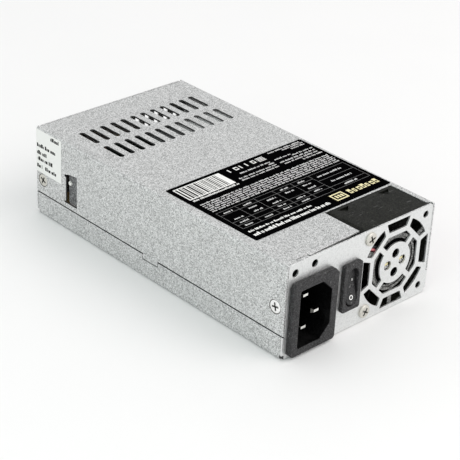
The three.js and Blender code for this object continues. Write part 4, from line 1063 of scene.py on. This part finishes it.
def rating_layout():
    """Layers of each colour: rectangles (left, right, near, far) from the label's corner, and depths."""
    draw = random.Random(11)
    white, shaded, gold = [(2.2, 26.8, 38.8, 49.2)], [], []
    black = barcode(draw, 2.8, 24.6, 39.4, 48.7)
    white += blocks_in_row(draw, 2.6, 27, 37, 1.3, 0.7, 30)
    for i, width in enumerate((0.6, 2, 0.6, 0.6, 2)):
        u = 31 + 3.2 * i
        white.append((u, u + width, 46.4, 48.9))
        if width > 1:
            black.append((u + 0.5, u + width - 0.4, 47, 48.3))
    white += [(47, 51, 46 + 0.9 * i, 46.45 + 0.9 * i) for i in range(4)]
    short_rows = (
        (49, 55, 74), (47.8, 62, 74), (46.3, 66, 74), (43.1, 33.5, 51), (43.1, 53, 62), (41.5, 48, 51),
        (41.9, 62, 74), (39.9, 30, 51), (39.9, 53, 74), (38.2, 30, 51), (38.2, 54, 74), (36.4, 63, 74))
    for v, u0, u1 in short_rows:
        shaded += blocks_in_row(draw, u0, u1, v, 0.9, 0.8)
    for i in range(6):
        shaded += blocks_in_row(draw, 2.6, 73.8, 33.2 - 1.36 * i, 0.85)
    for i, u in enumerate((5, 15.4, 25.5, 35.6, 45.5)):
        for j, v in enumerate((22.6, 19.6, 16.6, 13.5, 10.6)):
            if (i * 3 + j) % 5 != 1:
                shaded += blocks_in_row(draw, u, u + 4.6, v, 0.95, 0.8)
    for v, u0, u1 in ((21.3, 55.5, 70), (15.3, 57.5, 69), (10.5, 60, 68)):
        shaded += blocks_in_row(draw, u0, u1, v, 1.1)
    white += blocks_in_row(draw, 2.4, 36, 6, 1.2)
    white += blocks_in_row(draw, 2.2, 44, 2.7, 2, 1.1)
    gold.append((47, 53.8, 2.5, 7.6))
    black.append((47.7, 53.1, 3.2, 6.9))
    emblem = [(48.6 + 1.5 * i, 49.5 + 1.5 * i, 4, 6.1) for i in range(3)]
    for i, width in enumerate((1.7, 1.4, 1.9, 1.9, 1.4, 1.8, 1.7)):
        u = 56 + 2.5 * i
        gold.append((u, u + width, 3.6, 6.2 if i % 3 else 6.9))
        black.append((u + 0.45, u + width - 0.45, 4.2, 5.4))
    layers = {"print_white": white, "print_grey": shaded, "print_dim": table_rules(), "print_gold": gold}
    layers = {finish: [(spots, PRINT_SUNK, PRINT_TOP)] for finish, spots in layers.items()}
    layers["print_gold"].append((emblem, 1.5 * PRINT_TOP, 3 * PRINT_TOP))
    layers["print_black"] = [(black, PRINT_SUNK, 2 * PRINT_TOP)]
    return layers


def tiles(spots, place, bottom, top):
    """Thin raised tiles at rectangles of a label, as one object."""
    vertices, faces = [], []
    for u0, u1, v0, v1 in spots:
        a = len(vertices)
        for depth in (bottom, top):
            vertices += [place(u, v, depth) for u, v in ((u0, v0), (u1, v0), (u1, v1), (u0, v1))]
        faces += [(a, a + 3, a + 2, a + 1), (a + 4, a + 5, a + 6, a + 7)]
        faces += [(a + i, a + (i + 1) % 4, a + 4 + (i + 1) % 4, a + 4 + i) for i in range(4)]
    return solid(vertices, faces)


def build_rating_label():
    low, high = span("rating_label")
    centre = (low + high) / 2
    spot = Matrix.Translation((centre.x, centre.y, 0)) @ Matrix.Rotation(LABEL["turn"], 4, "Z")
    sheet = moved(prism("z", centred(0, 0, LABEL["width"], LABEL["height"], 0.8), low.z, high.z), spot)
    piece("rating_sticker", sheet, "label_black", ["rating_label"], rounds=0.03)

    def place(u, v, depth):
        return spot @ Vector((u - LABEL["width"] / 2, v - LABEL["height"] / 2, high.z + depth))

    for finish, layers in rating_layout().items():
        slot = "label_black" if finish == "print_black" else "label_white"
        made = gathered([tiles(spots, place, bottom, top) for spots, bottom, top in layers])
        piece("rating_" + finish, made, slot, finish=finish, rounds=0)


def build_side_label():
    low, high = span("side_label")
    thick = -HALF_W - low.x
    sheet = outline((low.x, low.y), (-HALF_W, low.y), (-HALF_W, FAR), (high.x, FAR), (high.x, high.y),
                    (low.x, high.y, thick * 0.8))
    piece("side_seal", prism("z", sheet, low.z, high.z), "label_white", ["side_label"], rounds=0.02)
    draw = random.Random(5)
    rows = ((37.2, 9.8, 15.4), (31.6, 0.5, 13), (28.2, 0.5, 7), (25.4, 1, 11), (22, 0.5, 4), (22, 6, 13.5))
    spots = []
    for z, u0, u1 in rows:
        spots += blocks_in_row(draw, u0, u1, z, 1.75, 1.25, 6)

    def place(u, v, depth):
        return Vector((low.x - depth, FAR - u, v))

    printed = tiles(spots, place, PRINT_SUNK, PRINT_TOP)
    piece("side_seal_print", printed, "label_black", finish="print_black", rounds=0)


# ---- outlet, and the parts drawn anew inside ----

def bushing():
    low, high = span("cable_bushing")
    x, z, gap = OUTLET["x"], OUTLET["z"], 0.2
    width, height, corner = OUTLET["width"], OUTLET["height"], OUTLET["corner"]
    sleeve = prism("y", centred(x, z, width - 2 * gap, height - 2 * gap, corner - gap), low.y, high.y)
    flange = prism("y", centred(x, z, width + 2.4, height + 2.4, corner + 1.2), low.y, FAR - SHEET - TOUCH)
    bore = prism("y", centred(x, z, width - 3.6, height - 3.6, corner - 1.8), low.y - 1, high.y + 1)
    return cut(join(sleeve, flange), bore)


def build_can(node):
    """Electrolytic capacitor: sleeve rolled over the top edge, and a bare lid scored with a cross."""
    low, high = span(node)
    centre, radius = (low + high) / 2, (high.x - low.x) / 2
    profile = [
        (0, low.z + 0.3), (radius - 0.9, low.z + 0.3), (radius - 0.3, low.z), (radius, low.z + 0.5),
        (radius, low.z + 1.6), (radius - 0.35, low.z + 2.1), (radius, low.z + 2.6), (radius, high.z - 0.8),
        (radius - 0.15, high.z - 0.25), (radius - 0.5, high.z), (radius - 0.85, high.z - 0.05),
        (radius - 1.1, high.z - 0.35), (0, high.z - 0.35)]
    lid_spot, score = Matrix.Translation((centre.x, centre.y, high.z - 0.35)), radius * 0.62
    arms = [moved(block(-score, score, -0.15, 0.15, -0.25, 0.3), lid_spot @ Matrix.Rotation(turn, 4, "Z"))
            for turn in (math.pi / 4, -math.pi / 4)]
    made = cut(lathe("z", profile, (centre.x, centre.y, 0), 64), *arms)
    piece(node + "_can", made, "sleeve", [node], rounds=0.05)

    def lid(spot, normal):
        return spot.z > high.z - 0.7 and math.hypot(spot.x - centre.x, spot.y - centre.y) < radius - 0.9

    refinish(made, "aluminium", lid)


def coil(node, axis, turns, wire, core_slot, wire_slot, sweep=360, start=0):
    """Toroid about an axis: a core ring with wire wound round its section over a sweep of degrees."""
    low, high = span(node)
    centre, size = (low + high) / 2, high - low
    outer, half_height = max(size) / 2, getattr(size, axis) / 2
    inner = outer * 0.42
    stand = Matrix.Translation(centre) @ AXES[axis](0, 0, 1).to_track_quat("Z", "Y").to_matrix().to_4x4()

    lead, corner = wire + 0.02, 0.6
    near, far, top = inner + lead, outer - lead, half_height - lead
    section = [(near, corner - top), (near + corner, -top), (far - corner, -top), (far, corner - top),
               (far, top - corner), (far - corner, top), (near + corner, top), (near, top - corner)]
    body = moved(lathe("z", section, (0, 0, 0), 64), stand)
    piece(node + "_core", body, core_slot, [node], rounds=0.15)

    middle_radius, reach, rise = (outer + inner) / 2, (outer - inner - wire) / 2, half_height - wire / 2
    steps_per_turn, sides = 20, 6
    total = turns * steps_per_turn
    closed = sweep == 360
    rings = []
    for step in range(total if closed else total + 1):
        round_core = math.radians(start + sweep * step / total)
        out, up = squircle(2 * math.pi * step / steps_per_turn)
        radial = Vector((math.cos(round_core), math.sin(round_core), 0))
        spot = radial * (middle_radius + reach * out) + Vector((0, 0, rise * up))
        normal = (radial * out + Vector((0, 0, up))).normalized()
        side = radial.cross(Vector((0, 0, 1)))
        turns_round = [2 * math.pi * k / sides for k in range(sides)]
        rings.append([spot + (normal * math.cos(turn) + side * math.sin(turn)) * wire / 2
                      for turn in turns_round])
    piece(node + "_winding", moved(loft(rings, closed), stand), wire_slot, rounds=0)


def squircle(phase):
    """Point on a rounded square of half-width 1."""
    c, s = math.cos(phase), math.sin(phase)
    size = (abs(c) ** 5 + abs(s) ** 5) ** (-0.2)
    return c * size, s * size


def build_inside():
    piece("outlet_bushing", bushing(), "black_plastic", ["cable_bushing"], rounds=0.3, segments=3)
    for node in ("bulk_capacitor", "output_capacitor_1", "output_capacitor_2"):
        build_can(node)
    coil("output_inductor", "y", 22, 1.3, "toroid", "copper", 300, 140)
    coil("filter_choke", "z", 26, 0.9, "ferrite", "copper")


# ---- finishes of the CAD nodes that stay ----

KEPT = {
    "screw_metal": ["earth_screw", *(f"board_screw_{i}" for i in range(1, 5))],
    "nickel": ["fan_shaft"],
    "brass": ["fan_bearing", "switch_terminal_1", "switch_terminal_2"],
    "white_plastic": ["sheet_rivet", "fan_socket"],
    "sheet_plastic": ["insulator_sheet"],
    "circuit_board": ["main_board", "control_board", "fan_circuit_board"],
    "dark_board": ["output_board"],
    "aluminium": ["primary_heatsink"],
    "shelf_painted_light_shade": ["secondary_heatsink"],
    "ferrite": ["fan_magnet_ring", "fan_stator", "transformer_core"],
    "tape": ["x_capacitor", "boost_inductor", "transformer_winding", "standby_transformer"],
    "epoxy": ["bridge_rectifier", "primary_transistor", "output_rectifier"],
    "ceramic": ["fuse"],
    "wire_red": ["fan_lead_red"],
    "wire_black": ["fan_lead_black", "line_lead", "switched_lead"],
    "wire_blue": ["neutral_lead"],
    "wire_green": ["earth_lead"],
}
ROUND_NODES = ("fan_shaft", "fan_bearing", "fan_magnet_ring")


def finish_kept_nodes():
    for slot, nodes in KEPT.items():
        for node in nodes:
            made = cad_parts[node]
            made.data.materials.clear()
            made.data.materials.append(MATERIALS[slot])
            made.modifiers.new("weld", "WELD").merge_threshold = 1e-6
            if node not in ROUND_NODES and "screw" not in node and "lead" not in node:
                soften(made, 0.12)


# ---- studio ----

CAMERA = {"azimuth": -44.35, "elevation": 28.77, "roll": 2.96, "lens": 125.42, "distance": 670}
CAMERA_TARGET = Vector((4.44, 1.97, 6.93))

# The floor and the lights are placed in metres.
FLOOR_Z = -0.0002
LIGHT_AIM = Vector((0, 0, 0.02))


def camera_axes():
    """Directions to the right of the view, up it and back from it."""
    azimuth, elevation, roll = (math.radians(CAMERA[key]) for key in ("azimuth", "elevation", "roll"))
    back = Vector((math.sin(azimuth) * math.cos(elevation), -math.cos(azimuth) * math.cos(elevation),
                   math.sin(elevation)))
    level = Vector((0, 0, 1)).cross(back).normalized()
    up = back.cross(level)
    return level * math.cos(roll) + up * math.sin(roll), up * math.cos(roll) - level * math.sin(roll), back


def build_camera():
    data = bpy.data.cameras.new("camera")
    data.sensor_width = 36
    data.lens = CAMERA["lens"]
    data.clip_start, data.clip_end = 0.01, 20
    made = linked(data)
    right, up, back = camera_axes()
    turn = Matrix((right, up, back)).transposed().to_4x4()
    made.matrix_world = Matrix.Translation((CAMERA_TARGET + back * CAMERA["distance"]) * MM) @ turn
    bpy.context.scene.camera = made


def area_light(name, spot, size, power, colour):
    """Round lamp that faces the middle of the object."""
    data = bpy.data.lights.new(name, "AREA")
    data.shape = "DISK"
    data.size = size
    data.energy = power
    data.color = colour
    made = linked(data)
    made.location = spot
    made.rotation_euler = (LIGHT_AIM - Vector(spot)).to_track_quat("-Z", "Y").to_euler()


def build_studio():
    scene = bpy.context.scene
    scene.view_settings.view_transform = "Standard"
    scene.view_settings.look = "None"
    scene.world = bpy.data.worlds.new("studio")
    scene.world.use_nodes = True
    background = scene.world.node_tree.nodes["Background"]
    background.inputs["Color"].default_value = (1, 1, 1, 1)
    background.inputs["Strength"].default_value = 0.88

    mesh = bpy.data.meshes.new("floor")
    mesh.from_pydata([(x, y, FLOOR_Z) for x, y in rectangle(-6, 6, -6, 6)], [], [(0, 1, 2, 3)])
    floor = linked(mesh)
    finish = Finish(grey(0.87), 0.6)
    finish.tint(grey(0.85), finish.noise(60, 2), 0.4, 0.7, 0.3)
    floor.data.materials.append(finish.done())

    area_light("key", (0.5, -0.9, 1.1), 1.2, 8, (1, 0.94, 0.93))
    area_light("fill", (-1.1, -0.2, 0.7), 1, 2.4, (0.74, 1, 0.92))


build_case()
build_fan()
build_inlet()
build_switch()
build_rating_label()
build_side_label()
build_inside()
finish_kept_nodes()
build_camera()
build_studio()
